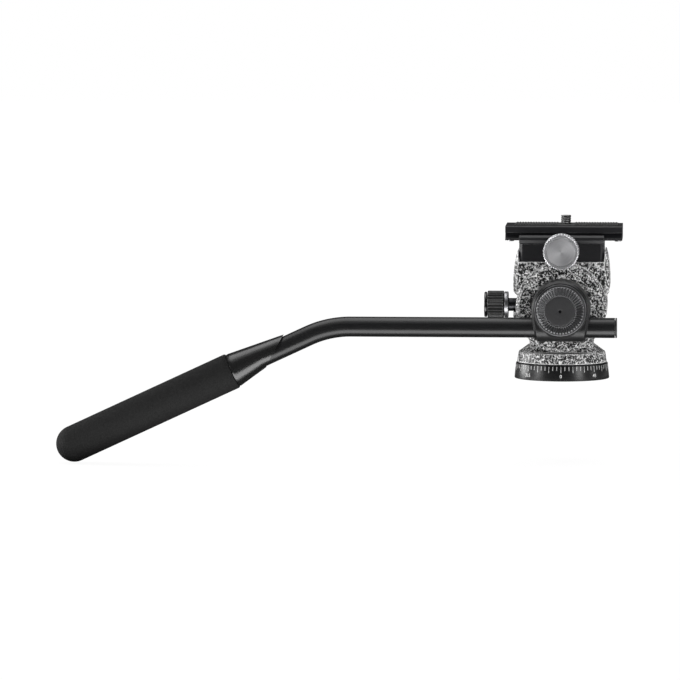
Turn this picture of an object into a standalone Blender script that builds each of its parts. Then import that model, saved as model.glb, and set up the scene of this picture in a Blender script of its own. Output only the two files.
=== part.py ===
"""Two-way fluid head for a tripod: panning base, tilting cradle, dovetail clamp and pan handle.

Metres. +Z is up along the pan axis, +X is the way the lens looks, -Y is the side that carries the
handle. The origin is on the pan axis, in the face that sits on the tripod.
"""
import math

import bmesh
import bpy
from mathutils import Vector

for old in list(bpy.data.objects):
    bpy.data.objects.remove(old, do_unlink=True)

# Clearances and small sizes that every piece shares
gap = 0.0003
overrun = 0.002
small_edge = 0.0004
seam_distance = 0.00001

# How finely round shapes are divided
coarse_steps = 10
hidden_steps = 12
round_steps = 18
fine_steps = 36

# Graduated base ring, with a cup for the spindle's flange
base_draft = 0.001
base_height = 0.0096
base_edge_round = 0.0011
base_rim = 0.0052
base_floor = 0.0052

# Threaded steel insert for the tripod's stud
insert_radius = 0.0066
insert_bore_radius = 0.0047
insert_height = 0.0112
insert_cover = 0.0006

# Pan spindle with its flange, and the nut that holds the housing down
spindle_flange_margin = 0.0034
spindle_flange = 0.0025
spindle_radius = 0.0084
spindle_neck_radius = 0.006
pan_bush_wall = 0.0022
pan_bush_length = 0.0076
pan_nut_radius = 0.008
pan_nut_height = 0.0033
thrust_washer_radius = 0.0094
thrust_washer_height = 0.0008
nut_pocket_margin = 0.001

# Screws that hold the base ring to the spindle's flange
base_screw_count = 3
base_screw_margin = 0.0045
base_screw_radius = 0.0015
base_screw_head_radius = 0.0028
base_screw_head = 0.002
base_screw_sink = 0.0004

# Friction washer under the housing
pan_washer_margin = 0.0008
pan_washer_height = 0.0008

# Pan housing: round cover, with a shelf on each side for the cradle's arm to swing over
cover_step = 0.0006
cover_draft = 0.0009
cover_shelf_height = 0.0063
cover_shoulder_over_shelf = 0.0004
cover_shoulder_round = 0.0009
cover_slope = 0.0079
cover_rise = 0.0051
cover_rib_margin = 0.0009
arm_clearance = 0.0006

# Pan housing: upright between the cradle's arms
upright_radius = 0.0225
upright_foot_inset = 0.0037
upright_foot_sink = 0.0027
upright_waist_inset = 0.0019
upright_waist_drop = 0.01
upright_edge = 0.0012
upright_machined_face = 0.0005
rear_boss_wall = 0.004
rear_boss_over_cradle = 0.0005
rear_notch_length = 0.0039
rear_notch_drop = 0.0042
front_boss_radius = 0.0064
front_boss_reach = 0.0012
front_boss_drop = 0.0028

# Plug in the upright's front
plug_flange_radius = 0.0048
plug_flange = 0.001
plug_head_radius = 0.003
plug_head = 0.0019
plug_stem_radius = 0.0029
plug_stem_length = 0.0072

# Cross bore of the upright, its bearing cover and the two tilt bushes
drag_bore_radius = 0.0141
drag_bore_wall = 0.0054
bearing_cover_thickness = 0.0044
bearing_cover_sink = 0.0003
axle_radius = 0.005
tilt_bush_wall = 0.0024
tilt_bush_length = 0.0044

# Fluid drag: sleeves of the fixed half run between sleeves of the turning half
stator_plate = 0.0021
stator_bore_margin = 0.0013
sleeve_wall = 0.001
sleeve_space = 0.00055
rotor_plate = 0.003
rotor_margin = 0.0005
rotor_drum_wall = 0.0014
sleeve_end_gap = 0.0006

# Brakes: a pad on the drag drum for tilt, a shoe on the spindle for pan
brake_pad_length = 0.004
brake_clearance = 0.0006
brake_side_gap = 0.0004
shoe_length = 0.0048

# Tilt lock knob at the back of the upright
lock_stem_radius = 0.0039
lock_neck = 0.003
lock_flange_radius = 0.0078
lock_flange = 0.0024
lock_grip_radius = 0.0083
lock_grip_depth = 0.0007
lock_grip_length = 0.0098
lock_grip_ribs = 24
lock_cap_radius = 0.0076
lock_cap = 0.0017
lock_stem_in_grip = 0.006

# Pan lock knob on the side away from the handle
pan_lock_rise = 0.0033
pan_stem_radius = 0.0029
pan_knob_neck = 0.0024
pan_knob_radius = 0.0074
pan_knob_hub_radius = 0.0052
pan_knob_hub = 0.0022
pan_knob_length = 0.0098
pan_knob_depth = 0.0009
pan_knob_lobes = 8
pan_stem_in_knob = 0.0062

# Cradle: two arms with round bosses, joined by a lip in front and a lip behind
arm_thickness = 0.0088
arm_over_clamp = 0.0004
boss_radius = 0.0272
boss_face_radius = 0.0252
boss_proud = 0.003
boss_bevel = 0.002
lip_thickness = 0.003
lip_height = 0.0079
lip_under_rise = 0.0017
body_height = 0.0283
body_edge = 0.0022
body_bulge_heights_share = (0.0, 0.2, 0.42, 0.64, 0.82, 1.0)
body_bulge_lengths_share = (0.985, 1.0, 0.998, 0.978, 0.947, 0.905)
seat_rise = 0.0273
axle_recess_margin = 0.0004
axle_recess = 0.0029
nut_recess = 0.005

# Tilt axle, its head and its nut
axle_head_radius = 0.0092
axle_head = 0.0023
axle_nut_radius = 0.0086
axle_nut = 0.0042
axle_socket_depth = 0.0112

# Washer under the handle's collar and the cap over the spare side
side_washer_radius = 0.016
side_washer = 0.001
side_cap_radius = 0.0158
side_cap_height = 0.0036
side_cap_edge = 0.0012
side_cap_slot = 0.0016
side_cap_slot_length = 0.014
side_cap_slot_depth = 0.0011
side_cap_spigot = 0.0005

# Dovetail clamp
clamp_half_length = 0.0253
clamp_end_gap = 0.0005
clamp_block_height = 0.0104
clamp_step = 0.0016
clamp_front_wall = 0.0042
clamp_back_wall = 0.0028
clamp_corner = 0.0018
jaw_lip = 0.001
jaw_bevel = 0.0028
jaw_chamfer = 0.0012
jaw_step_under = 0.0008
jaw_plate_gap = 0.0014
jaw_tongue_half = 0.0092
jaw_tongue_drop = 0.0044
jaw_tongue_depth = 0.0042
clamp_screw_end = 0.0068
clamp_screw_radius = 0.0013
clamp_screw_head_radius = 0.002
clamp_screw_head = 0.0018
clamp_screw_front_edge = 0.0028
clamp_screw_back_edge = 0.0052
clamp_screw_length = 0.009

# Dovetail plate
plate_half_width = 0.019
plate_under_height = 0.0046
plate_flange_height = 0.0039
plate_edge = 0.0005
dovetail_half_width = 0.01905
dovetail_edge = 0.0008
dovetail_neck = 0.0006
dovetail_clearance = 0.00035
pad_back_margin = 0.0054
pad_front_margin = 0.0026
pad_side_margin = 0.0056
pad_proud = 0.0009
pad_sink = 0.001
plate_travel_back = 0.0062
plate_travel_front = 0.0038
stop_screw_inset = 0.0028
stop_screw_radius = 0.0014
stop_screw_head_radius = 0.0019
stop_screw_head = 0.0013
stop_screw_length = 0.0032

# Camera screw in the plate
camera_screw_x = 0.0022
camera_screw_radius = 0.003175
camera_screw_proud = 0.0048
camera_screw_head_radius = 0.0068
camera_screw_head = 0.0018
camera_screw_neck_radius = 0.0024
camera_slot_width = 0.0016
camera_slot_depth = 0.0011
retainer_radius = 0.0046
retainer_height = 0.0006

# Clamp knob, its stud, the jaw's guide pins and springs
clamp_axis_rise = 0.0064
clamp_knob_length = 0.0131
clamp_knob_radius = 0.0108
clamp_knob_hub_radius = 0.0056
clamp_knob_hub = 0.0027
clamp_knob_depth = 0.0006
clamp_knob_teeth = 40
clamp_knob_face_margin = 0.0016
clamp_knob_cap_margin = 0.0009
clamp_knob_cap = 0.0008
clamp_knob_chamfer = 0.0011
clamp_stud_radius = 0.0028
clamp_stud_in_block = 0.0171
clamp_stud_in_knob = 0.009
guide_pin_x = 0.0063
guide_pin_radius = 0.0013
guide_pin_in_block = 0.0146
guide_pin_sink = 0.0012
spring_pocket_radius = 0.00255
spring_pocket = 0.0055
spring_wire_radius = 0.00024
spring_radius = 0.00195
spring_turns = 4

# Handle collar beside the right boss
collar_thickness = 0.0154
collar_back_radius = 0.0178
collar_taper = 0.0006
collar_back_rim = 0.0034
tube_drop = 0.011
tube_radius = 0.006
sleeve_wall_below = 0.002
collar_waist_inset = 0.0001
collar_waist_drop = 0.0045
collar_foot_inset = 0.0025
collar_foot_top = 0.0021
collar_edge = 0.0012
collar_face_step = 0.0002
collar_slit = 0.001
collar_slit_rise = 0.0075

# Knob that clamps the collar and the handle
knob_stud_radius = 0.0037
knob_flange_radius = 0.0154
knob_flange = 0.0022
knob_teeth = 48
knob_foot_radius = 0.0142
knob_top_radius = 0.0101
knob_tooth_depth = 0.00085
knob_rim = 0.0012
knob_height = 0.0072
knob_cap_margin = 0.0011
knob_cap = 0.001
knob_cap_dimple = 0.001
knob_cap_dimple_floor = 0.0007
stud_in_knob = 0.0046

# Handle tube, with its bend
tube_front_reach = 0.0144
tube_wall = 0.0012
bend_x = -0.1386
bend_angle = math.radians(25.0)
bend_radius = 0.06
bend_steps = 7
tube_plug_cap = 0.001
tube_plug_depth = 0.006
straight_after_bend = 0.0135
tube_in_grip = 0.0846

# Foam grip
grip_radius = 0.011
grip_length = 0.1053
grip_edge = 0.0008
grip_round_steps = 6

# Ferrule between tube and grip, with its mouth cut on the slant
ferrule_step = 0.0006
ferrule_top_length = 0.0366
ferrule_foot_length = 0.0186
ferrule_tip_wall = 0.0009
ferrule_foot_wall = 0.00065
ferrule_rings = 5

# Heights that the pieces stack up to, from the tripod upwards
flange_z = base_floor + gap
flange_top_z = flange_z + spindle_flange
washer_z = flange_top_z + gap
cover_low_z = base_height + gap
cover_shelf_z = cover_low_z + cover_shelf_height
cover_shoulder_z = cover_shelf_z + cover_shoulder_over_shelf
cover_top_z = cover_shoulder_z + cover_rise
tilt_axis_z = cover_shelf_z + arm_clearance + boss_radius
seat_z = tilt_axis_z + seat_rise
body_high_z = seat_z + lip_height
clamp_low_z = seat_z + gap
clamp_axis_z = clamp_low_z + clamp_axis_rise
clamp_shelf_z = clamp_low_z + clamp_block_height
clamp_floor_z = clamp_shelf_z + clamp_step
plate_low_z = clamp_floor_z + gap
plate_flange_low_z = plate_low_z + plate_under_height
plate_top_z = plate_flange_low_z + plate_flange_height
tube_axis_z = tilt_axis_z - tube_drop
pan_lock_z = cover_low_z + pan_lock_rise

# Widths that follow: the dovetail sets the clamp's, then the cradle's, and so the round base's
undercut_y = dovetail_half_width + dovetail_clearance
clamp_front_y = undercut_y + clamp_front_wall
clamp_back_y = undercut_y + clamp_back_wall
arm_outer_y = clamp_front_y + arm_over_clamp
arm_inner_y = arm_outer_y - arm_thickness
upright_half_width = arm_inner_y - gap
boss_face_y = arm_outer_y + boss_proud
collar_back_y = boss_face_y + gap + side_washer + gap
collar_front_y = collar_back_y + collar_thickness
tube_axis_y = (collar_back_y + collar_front_y) / 2
cover_radius = boss_face_y
base_top_radius = cover_radius + cover_step
base_radius = base_top_radius + base_draft
cup_radius = base_top_radius - base_rim
spindle_flange_radius = cup_radius - spindle_flange_margin

# Lengths that follow, along the way the lens looks
lip_pocket_half = clamp_half_length + clamp_end_gap
body_half_length = lip_pocket_half + lip_thickness

# Directions that a piece's own +Z can be laid along
towards_handle = (math.pi / 2, 0, 0)
away_from_handle = (-math.pi / 2, 0, 0)
towards_front = (0, math.pi / 2, 0)
towards_back = (0, -math.pi / 2, 0)
upright = (0, 0, 0)
upside_down = (math.pi, 0, 0)


def material(name, colour, roughness, metallic):
    made = bpy.data.materials.new(name)
    made.use_nodes = True
    shader = made.node_tree.nodes["Principled BSDF"]
    shader.inputs["Base Color"].default_value = (*colour, 1)
    shader.inputs["Roughness"].default_value = roughness
    shader.inputs["Metallic"].default_value = metallic
    return made


def frame(name, place):
    """An empty on a joint's axis, which carries the pieces of one moving body."""
    empty = bpy.data.objects.new(name, None)
    empty.location = place
    bpy.context.scene.collection.objects.link(empty)
    return empty


def piece(name, mesh, body, place=(0, 0, 0), turn=upright, finish=None):
    """One part of the head, at a place given in the head's own frame."""
    made = bpy.data.objects.new(name, mesh)
    bpy.context.scene.collection.objects.link(made)
    made.parent = body
    made.location = Vector(place) - body.location
    made.rotation_euler = turn
    colour, roughness, metallic = finish or ((0.03, 0.03, 0.03), 0.5, 0.0)
    mesh.materials.append(material(name, colour, roughness, metallic))
    return made


def copies(name, mesh, body, places, turn=upright, finish=None):
    """Like pieces that share one mesh, numbered from 1."""
    first = piece(f"{name}_1", mesh, body, places[0], turn, finish)
    for number, place in enumerate(places[1:], 2):
        made = first.copy()
        made.name = f"{name}_{number}"
        bpy.context.scene.collection.objects.link(made)
        made.location = Vector(place) - body.location


def tool(mesh, body, place=(0, 0, 0), turn=upright):
    """A shape that only cuts, joins or trims another piece."""
    made = bpy.data.objects.new("tool", mesh)
    bpy.context.scene.collection.objects.link(made)
    made.parent = body
    made.location = Vector(place) - body.location
    made.rotation_euler = turn
    made.hide_render = True
    made.display_type = "WIRE"
    return made


def combine(target, operand, operation):
    change = target.modifiers.new(operation.lower(), "BOOLEAN")
    change.operation = operation
    change.solver = "EXACT"
    change.object = operand


def smooth(mesh, angle=math.radians(32)):
    mesh.shade_smooth()
    mesh.set_sharp_from_angle(angle=angle)


def finish_mesh(name, shape):
    bmesh.ops.recalc_face_normals(shape, faces=shape.faces)
    mesh = bpy.data.meshes.new(name)
    shape.to_mesh(mesh)
    shape.free()
    smooth(mesh)
    return mesh


def skin(shape, ring_pairs):
    """Faces between pairs of rings that hold the same count of corners."""
    for lower, upper in ring_pairs:
        count = len(lower)
        for step in range(count):
            after = (step + 1) % count
            shape.faces.new((lower[step], lower[after], upper[after], upper[step]))


def turned(profile, steps=round_steps):
    """A solid of revolution about +Z.

    The profile is a loop of radius and height. Where it touches the axis, the ring beside that point
    is closed by a flat face, and a loop that keeps off the axis makes a ring with a bore.
    """
    shape = bmesh.new()
    rings = []
    for radius, height in profile:
        ring = []
        if radius > 0:
            for step in range(steps):
                angle = 2 * math.pi * step / steps
                ring.append(shape.verts.new((radius * math.cos(angle), radius * math.sin(angle), height)))
        rings.append(ring)
    for ring, following in zip(rings, rings[1:] + rings[:1]):
        if ring and following:
            skin(shape, [(ring, following)])
        elif ring or following:
            shape.faces.new(ring or following)
    return finish_mesh("turned", shape)


def rod(radius, low, high, steps=round_steps, edge=0.0):
    """A round bar along +Z, with a chamfer at both ends where edge is given."""
    if edge == 0:
        return turned([(0, low), (radius, low), (radius, high), (0, high)], steps)
    return turned([(0, low), (radius - edge, low), (radius, low + edge),
                   (radius, high - edge), (radius - edge, high), (0, high)], steps)


def washer(inner, outer, low, high, steps=round_steps):
    return turned([(inner, low), (outer, low), (outer, high), (inner, high)], steps)


def extruded(outline, low, high):
    """An outline in the XY plane, carried from low to high along +Z."""
    shape = bmesh.new()
    lower = [shape.verts.new((x, y, low)) for x, y in outline]
    upper = [shape.verts.new((x, y, high)) for x, y in outline]
    shape.faces.new(reversed(lower))
    shape.faces.new(upper)
    skin(shape, [(lower, upper)])
    return finish_mesh("extruded", shape)


def block(low, high):
    """A plain box between two opposite corners."""
    outline = [(low[0], low[1]), (high[0], low[1]), (high[0], high[1]), (low[0], high[1])]
    return extruded(outline, low[2], high[2])


def toothed(rows, teeth, corners=2):
    """A ribbed or serrated solid: each row is a root radius, a crest radius and a height.

    Two corners to a tooth make sharp teeth, four make ribs with flat crests.
    """
    shape = bmesh.new()
    rings = []
    for root, crest, height in rows:
        ring = []
        for step in range(corners * teeth):
            radius = crest if step % corners < corners / 2 else root
            angle = 2 * math.pi * (step + 0.5) / (corners * teeth)
            ring.append(shape.verts.new((radius * math.cos(angle), radius * math.sin(angle), height)))
        rings.append(ring)
    skin(shape, list(zip(rings, rings[1:])))
    shape.faces.new(reversed(rings[0]))
    shape.faces.new(rings[-1])
    return finish_mesh("toothed", shape)


def on_circle(radius, count, start=0.0):
    places = []
    for step in range(count):
        angle = start + 2 * math.pi * step / count
        places.append((radius * math.cos(angle), radius * math.sin(angle), 0))
    return places


def cap_screw(radius, length, head_radius, head, steps=coarse_steps):
    """A screw whose head's top is at zero and whose shank points along -Z."""
    return turned([(0, 0), (head_radius, 0), (head_radius, -head), (radius, -head),
                   (radius, -head - length), (0, -head - length)], steps)


def broken_edges(target, width, segments=2, angle=math.radians(35)):
    rounding = target.modifiers.new("broken edges", "BEVEL")
    rounding.width = width
    rounding.segments = segments
    rounding.limit_method = "ANGLE"
    rounding.angle_limit = angle
    rounding.use_clamp_overlap = True


# Finishes, as colour, roughness and metallic value
speckled_casting = ((0.09, 0.09, 0.09), 0.45, 0.2)
black_anodised = ((0.03, 0.03, 0.033), 0.42, 0.5)
black_gloss = ((0.012, 0.012, 0.012), 0.25, 0.0)
black_plastic = ((0.025, 0.025, 0.025), 0.5, 0.0)
grey_knob = ((0.06, 0.06, 0.06), 0.45, 0.2)
bright_aluminium = ((0.62, 0.62, 0.65), 0.32, 1.0)
bright_steel = ((0.55, 0.55, 0.56), 0.3, 1.0)
bronze = ((0.55, 0.36, 0.16), 0.4, 1.0)
slippery_polymer = ((0.7, 0.68, 0.6), 0.5, 0.0)
rubber = ((0.02, 0.02, 0.02), 0.8, 0.0)
foam = ((0.018, 0.018, 0.018), 0.9, 0.0)

# Bodies that move, each hung on its own axis
tilt_centre = (0, 0, tilt_axis_z)
base = frame("base_frame", (0, 0, 0))
pan = frame("pan_frame", (0, 0, 0))
tilt = frame("tilt_frame", tilt_centre)
tilt_lock = frame("tilt_lock_frame", tilt_centre)
tilt_brake = frame("tilt_brake_frame", tilt_centre)
pan_lock = frame("pan_lock_frame", (0, 0, pan_lock_z))
pan_brake = frame("pan_brake_frame", (0, 0, pan_lock_z))
jaw = frame("jaw_frame", (0, -clamp_front_y, clamp_axis_z))
clamp_turn = frame("clamp_knob_frame", (0, 0, clamp_axis_z))
plate = frame("plate_frame", (0, 0, plate_low_z))
camera = frame("camera_screw_frame", (camera_screw_x, 0, plate_low_z))
collar = frame("collar_frame", tilt_centre)
handle_turn = frame("handle_knob_frame", tilt_centre)
handle = frame("handle_frame", (0, -tube_axis_y, tube_axis_z))

# Base ring: a shallow cup turned from bar, graduated on its outside
counterbore_radius = insert_radius + gap
round_profile = []
for step in range(3):
    angle = math.pi / 2 * step / 2
    round_profile.append((base_radius - base_edge_round + base_edge_round * math.sin(angle),
                          base_edge_round - base_edge_round * math.cos(angle)))
ring_profile = [(counterbore_radius, 0)] + round_profile + [
    (base_top_radius, base_height - small_edge), (base_top_radius - small_edge, base_height),
    (cup_radius, base_height), (cup_radius, base_floor), (counterbore_radius, base_floor)]
base_ring = piece("base_ring", turned(ring_profile, fine_steps), base, finish=black_anodised)
screw_start = math.radians(80)
screw_places = on_circle(spindle_flange_radius - base_screw_margin, base_screw_count, screw_start)
head_pocket = base_screw_sink + base_screw_head + gap
for place in screw_places:
    shank_hole = rod(base_screw_radius + gap, -overrun, base_floor + overrun, coarse_steps)
    combine(base_ring, tool(shank_hole, base, place), "DIFFERENCE")
    head_hole = rod(base_screw_head_radius + gap, -overrun, head_pocket, coarse_steps)
    combine(base_ring, tool(head_hole, base, place), "DIFFERENCE")

# Threaded insert, pressed up through the floor into the spindle
insert_profile = [(insert_bore_radius, gap + small_edge),
                  (insert_bore_radius + small_edge, gap), (insert_radius, gap),
                  (insert_radius, insert_height), (insert_bore_radius, insert_height)]
piece("thread_insert", turned(insert_profile, hidden_steps), base, finish=bright_steel)

# Spindle: flange in the base's cup, journal for the pan brake and neck for the bush and the nut
socket_top_z = insert_height + insert_cover
nut_top_z = tilt_axis_z - drag_bore_radius - gap
nut_z = nut_top_z - pan_nut_height
thrust_z = nut_z - gap - thrust_washer_height
nut_pocket_z = thrust_z - gap
spindle_shoulder_z = nut_pocket_z - pan_bush_length - gap
spindle_profile = [(counterbore_radius, flange_z), (spindle_flange_radius, flange_z),
                   (spindle_flange_radius, flange_top_z), (spindle_radius, flange_top_z),
                   (spindle_radius, spindle_shoulder_z), (spindle_neck_radius, spindle_shoulder_z),
                   (spindle_neck_radius, nut_top_z - small_edge),
                   (spindle_neck_radius - small_edge, nut_top_z), (0, nut_top_z)]
spindle_profile = [(0, socket_top_z), (counterbore_radius, socket_top_z)] + spindle_profile
pan_spindle = piece("pan_spindle", turned(spindle_profile, hidden_steps), base, finish=bright_steel)
for place in screw_places:
    flange_hole = rod(base_screw_radius + gap, flange_z - overrun, flange_top_z + overrun, coarse_steps)
    combine(pan_spindle, tool(flange_hole, base, place), "DIFFERENCE")

base_screw_length = flange_top_z - gap - base_screw_sink - base_screw_head
base_screw = cap_screw(base_screw_radius, base_screw_length, base_screw_head_radius, base_screw_head)
copies("base_screw", base_screw, base, [(x, y, base_screw_sink) for x, y, _ in screw_places],
       upside_down, bright_steel)

washer_top_z = washer_z + pan_washer_height
piece("pan_washer", washer(spindle_radius + pan_washer_margin, spindle_flange_radius - pan_washer_margin,
                           washer_z, washer_top_z, hidden_steps),
      base, finish=slippery_polymer)

# Housing: round cover, upright and the bosses for the locks, cast in one
cover_shoulder_radius = cover_radius - cover_draft
cover_rib_radius = cup_radius - cover_rib_margin
cover_profile = [(0, washer_top_z + gap), (cover_rib_radius, washer_top_z + gap),
                 (cover_rib_radius, cover_low_z), (cover_radius, cover_low_z)]
for step in range(3):
    share = step / 2
    cover_profile.append((cover_shoulder_radius - cover_shoulder_round * share ** 2,
                          cover_shoulder_z - cover_shoulder_round * (1 - share)))
cover_profile += [(cover_shoulder_radius - cover_slope, cover_top_z), (0, cover_top_z)]
housing = piece("pan_housing", turned(cover_profile, fine_steps), pan, finish=speckled_casting)
for side in (-1, 1):
    inner = min(side * arm_inner_y, side * (cover_radius + overrun))
    outer = max(side * arm_inner_y, side * (cover_radius + overrun))
    low = (-cover_radius - overrun, inner, cover_shelf_z)
    high = (cover_radius + overrun, outer, cover_top_z + overrun)
    combine(housing, tool(block(low, high), pan), "DIFFERENCE")
upright_foot_half = upright_radius - upright_foot_inset
upright_waist_half = upright_radius - upright_waist_inset
upright_foot_z = cover_top_z - upright_foot_sink
upright_waist_z = tilt_axis_z - upright_waist_drop
web_outline = [(-upright_foot_half, upright_foot_z), (upright_foot_half, upright_foot_z),
               (upright_waist_half, upright_waist_z), (upright_waist_half, tilt_axis_z),
               (-upright_waist_half, tilt_axis_z), (-upright_waist_half, upright_waist_z)]
web_half_width = upright_half_width - upright_machined_face
web = tool(extruded(web_outline, -web_half_width, web_half_width), pan, turn=towards_handle)
broken_edges(web, upright_edge)
drum = tool(rod(upright_radius, -upright_half_width, upright_half_width, fine_steps, upright_edge),
            pan, tilt_centre, towards_handle)
brake_bore_radius = lock_stem_radius + gap
rear_boss_radius = brake_bore_radius + rear_boss_wall
rear_boss_x = body_half_length + rear_boss_over_cradle
rear_boss = tool(rod(rear_boss_radius, 0, rear_boss_x, round_steps, small_edge),
                 pan, tilt_centre, towards_back)
front_boss_place = (0, 0, tilt_axis_z - front_boss_drop)
front_boss_x = upright_radius + front_boss_reach
front_boss = tool(rod(front_boss_radius, 0, front_boss_x, round_steps, small_edge),
                  pan, front_boss_place, towards_front)
for form in (web, drum, rear_boss, front_boss):
    combine(housing, form, "UNION")
notch_low = (-rear_boss_x - overrun, -rear_boss_radius - overrun, tilt_axis_z - rear_notch_drop)
notch_high = (rear_notch_length - rear_boss_x, rear_boss_radius + overrun,
              tilt_axis_z + rear_boss_radius + overrun)
combine(housing, tool(block(notch_low, notch_high), pan), "DIFFERENCE")
pan_bore_radius = spindle_neck_radius + gap + pan_bush_wall + gap
pan_bore = rod(pan_bore_radius, 0, nut_pocket_z + overrun, hidden_steps)
combine(housing, tool(pan_bore, pan), "DIFFERENCE")
nut_pocket = rod(thrust_washer_radius + nut_pocket_margin, nut_pocket_z, tilt_axis_z, hidden_steps)
combine(housing, tool(nut_pocket, pan), "DIFFERENCE")
drag_bore_floor_y = upright_half_width - drag_bore_wall
drag_bore = rod(drag_bore_radius, -drag_bore_floor_y, upright_half_width + overrun)
combine(housing, tool(drag_bore, pan, tilt_centre, towards_handle), "DIFFERENCE")
left_bush_bore = axle_radius + gap + tilt_bush_wall + gap
bush_hole = rod(left_bush_bore, 0, upright_half_width + overrun, hidden_steps)
combine(housing, tool(bush_hole, pan, tilt_centre, away_from_handle), "DIFFERENCE")
lock_bore = rod(brake_bore_radius, drag_bore_radius - overrun, rear_boss_x + overrun, coarse_steps)
combine(housing, tool(lock_bore, pan, tilt_centre, towards_back), "DIFFERENCE")
plug_bore = rod(plug_stem_radius + gap, drag_bore_radius - overrun, front_boss_x + overrun, coarse_steps)
combine(housing, tool(plug_bore, pan, front_boss_place, towards_front), "DIFFERENCE")
shoe_bore_radius = pan_stem_radius + gap
shoe_bore = rod(shoe_bore_radius, pan_bore_radius - overrun, cover_radius + overrun, coarse_steps)
combine(housing, tool(shoe_bore, pan, (0, 0, pan_lock_z), away_from_handle), "DIFFERENCE")

# Pan bush, thrust washer and nut
bush_inner = spindle_neck_radius + gap
piece("pan_bush", washer(bush_inner, bush_inner + pan_bush_wall, spindle_shoulder_z + gap, nut_pocket_z,
                         hidden_steps),
      pan, finish=bronze)
piece("thrust_washer", washer(bush_inner, thrust_washer_radius, thrust_z, thrust_z + thrust_washer_height,
                              hidden_steps),
      pan, finish=bright_steel)
nut = piece("pan_nut", rod(pan_nut_radius, nut_z, nut_top_z, 6), base, finish=bright_steel)
combine(nut, tool(rod(bush_inner, nut_z - overrun, nut_top_z + overrun, hidden_steps), base), "DIFFERENCE")

# Front plug
plug_z = front_boss_x + gap
plug_stem_x = front_boss_x - plug_stem_length
plug_profile = [(0, plug_stem_x), (plug_stem_radius, plug_stem_x), (plug_stem_radius, plug_z),
                (plug_flange_radius, plug_z), (plug_flange_radius, plug_z + plug_flange),
                (plug_head_radius, plug_z + plug_flange),
                (plug_head_radius, plug_z + plug_flange + plug_head - small_edge),
                (plug_head_radius - small_edge, plug_z + plug_flange + plug_head),
                (0, plug_z + plug_flange + plug_head)]
piece("front_plug", turned(plug_profile), pan, front_boss_place, towards_front, finish=bright_steel)

# Bearing cover that closes the drag's bore, and the tilt bushes
cover_out = upright_half_width - bearing_cover_sink
cover_in = cover_out - bearing_cover_thickness
piece("bearing_cover", washer(left_bush_bore, drag_bore_radius - gap, cover_in, cover_out),
      pan, tilt_centre, towards_handle, finish=black_anodised)
bush_in = axle_radius + gap
bush_out = bush_in + tilt_bush_wall
right_bush = washer(bush_in, bush_out, cover_out - tilt_bush_length, cover_out, hidden_steps)
piece("tilt_bush_right", right_bush, pan, tilt_centre, towards_handle, finish=bronze)
left_bush = washer(bush_in, bush_out, cover_out - tilt_bush_length, cover_out, hidden_steps)
piece("tilt_bush_left", left_bush, pan, tilt_centre, away_from_handle, finish=bronze)

# Fluid drag, fixed half: a plate with two sleeves
stator_out = cover_in - gap
stator_in = stator_out - stator_plate
sleeve_in = -(drag_bore_floor_y - gap - rotor_plate - sleeve_end_gap)
stator_inner_sleeve = bush_in + stator_bore_margin
rotor_inner_sleeve = stator_inner_sleeve + sleeve_wall + sleeve_space
stator_outer_sleeve = rotor_inner_sleeve + sleeve_wall + sleeve_space
stator_radius = drag_bore_radius - gap
inner_sleeve_out = stator_inner_sleeve + sleeve_wall
outer_sleeve_out = stator_outer_sleeve + sleeve_wall
stator_profile = [(stator_inner_sleeve, stator_out), (stator_radius, stator_out), (stator_radius, stator_in),
                  (outer_sleeve_out, stator_in), (outer_sleeve_out, sleeve_in),
                  (stator_outer_sleeve, sleeve_in), (stator_outer_sleeve, stator_in),
                  (inner_sleeve_out, stator_in), (inner_sleeve_out, sleeve_in),
                  (stator_inner_sleeve, sleeve_in)]
piece("drag_stator", turned(stator_profile, hidden_steps), pan, tilt_centre, towards_handle,
      finish=black_anodised)

# Fluid drag, turning half: a drum and one sleeve that run between the fixed ones
rotor_out = -(drag_bore_floor_y - gap)
rotor_in = rotor_out + rotor_plate
rotor_radius = drag_bore_radius - rotor_margin
rotor_sleeve_end = stator_in - sleeve_end_gap
drum_inner = rotor_radius - rotor_drum_wall
rotor_sleeve_out = rotor_inner_sleeve + sleeve_wall
rotor_profile = [(bush_in, rotor_out), (rotor_radius, rotor_out), (rotor_radius, rotor_sleeve_end),
                 (drum_inner, rotor_sleeve_end), (drum_inner, rotor_in),
                 (rotor_sleeve_out, rotor_in), (rotor_sleeve_out, rotor_sleeve_end),
                 (rotor_inner_sleeve, rotor_sleeve_end), (rotor_inner_sleeve, rotor_in), (bush_in, rotor_in)]
piece("drag_rotor", turned(rotor_profile, hidden_steps), tilt, tilt_centre, towards_handle,
      finish=bright_aluminium)

# Tilt brake pad, hollowed to the drum that it grips
brake_pad_radius = brake_bore_radius - brake_side_gap
pad_start = rotor_radius + brake_clearance
pad_end = pad_start + brake_pad_length
pad_low = pad_start - brake_pad_radius
brake_pad = piece("tilt_brake_pad", rod(brake_pad_radius, pad_low, pad_end, coarse_steps),
                  tilt_brake, tilt_centre, towards_back, finish=bronze)
drum_space = rod(rotor_radius + brake_clearance, -upright_half_width, upright_half_width, fine_steps)
combine(brake_pad, tool(drum_space, tilt_brake, tilt_centre, towards_handle), "DIFFERENCE")

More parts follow.
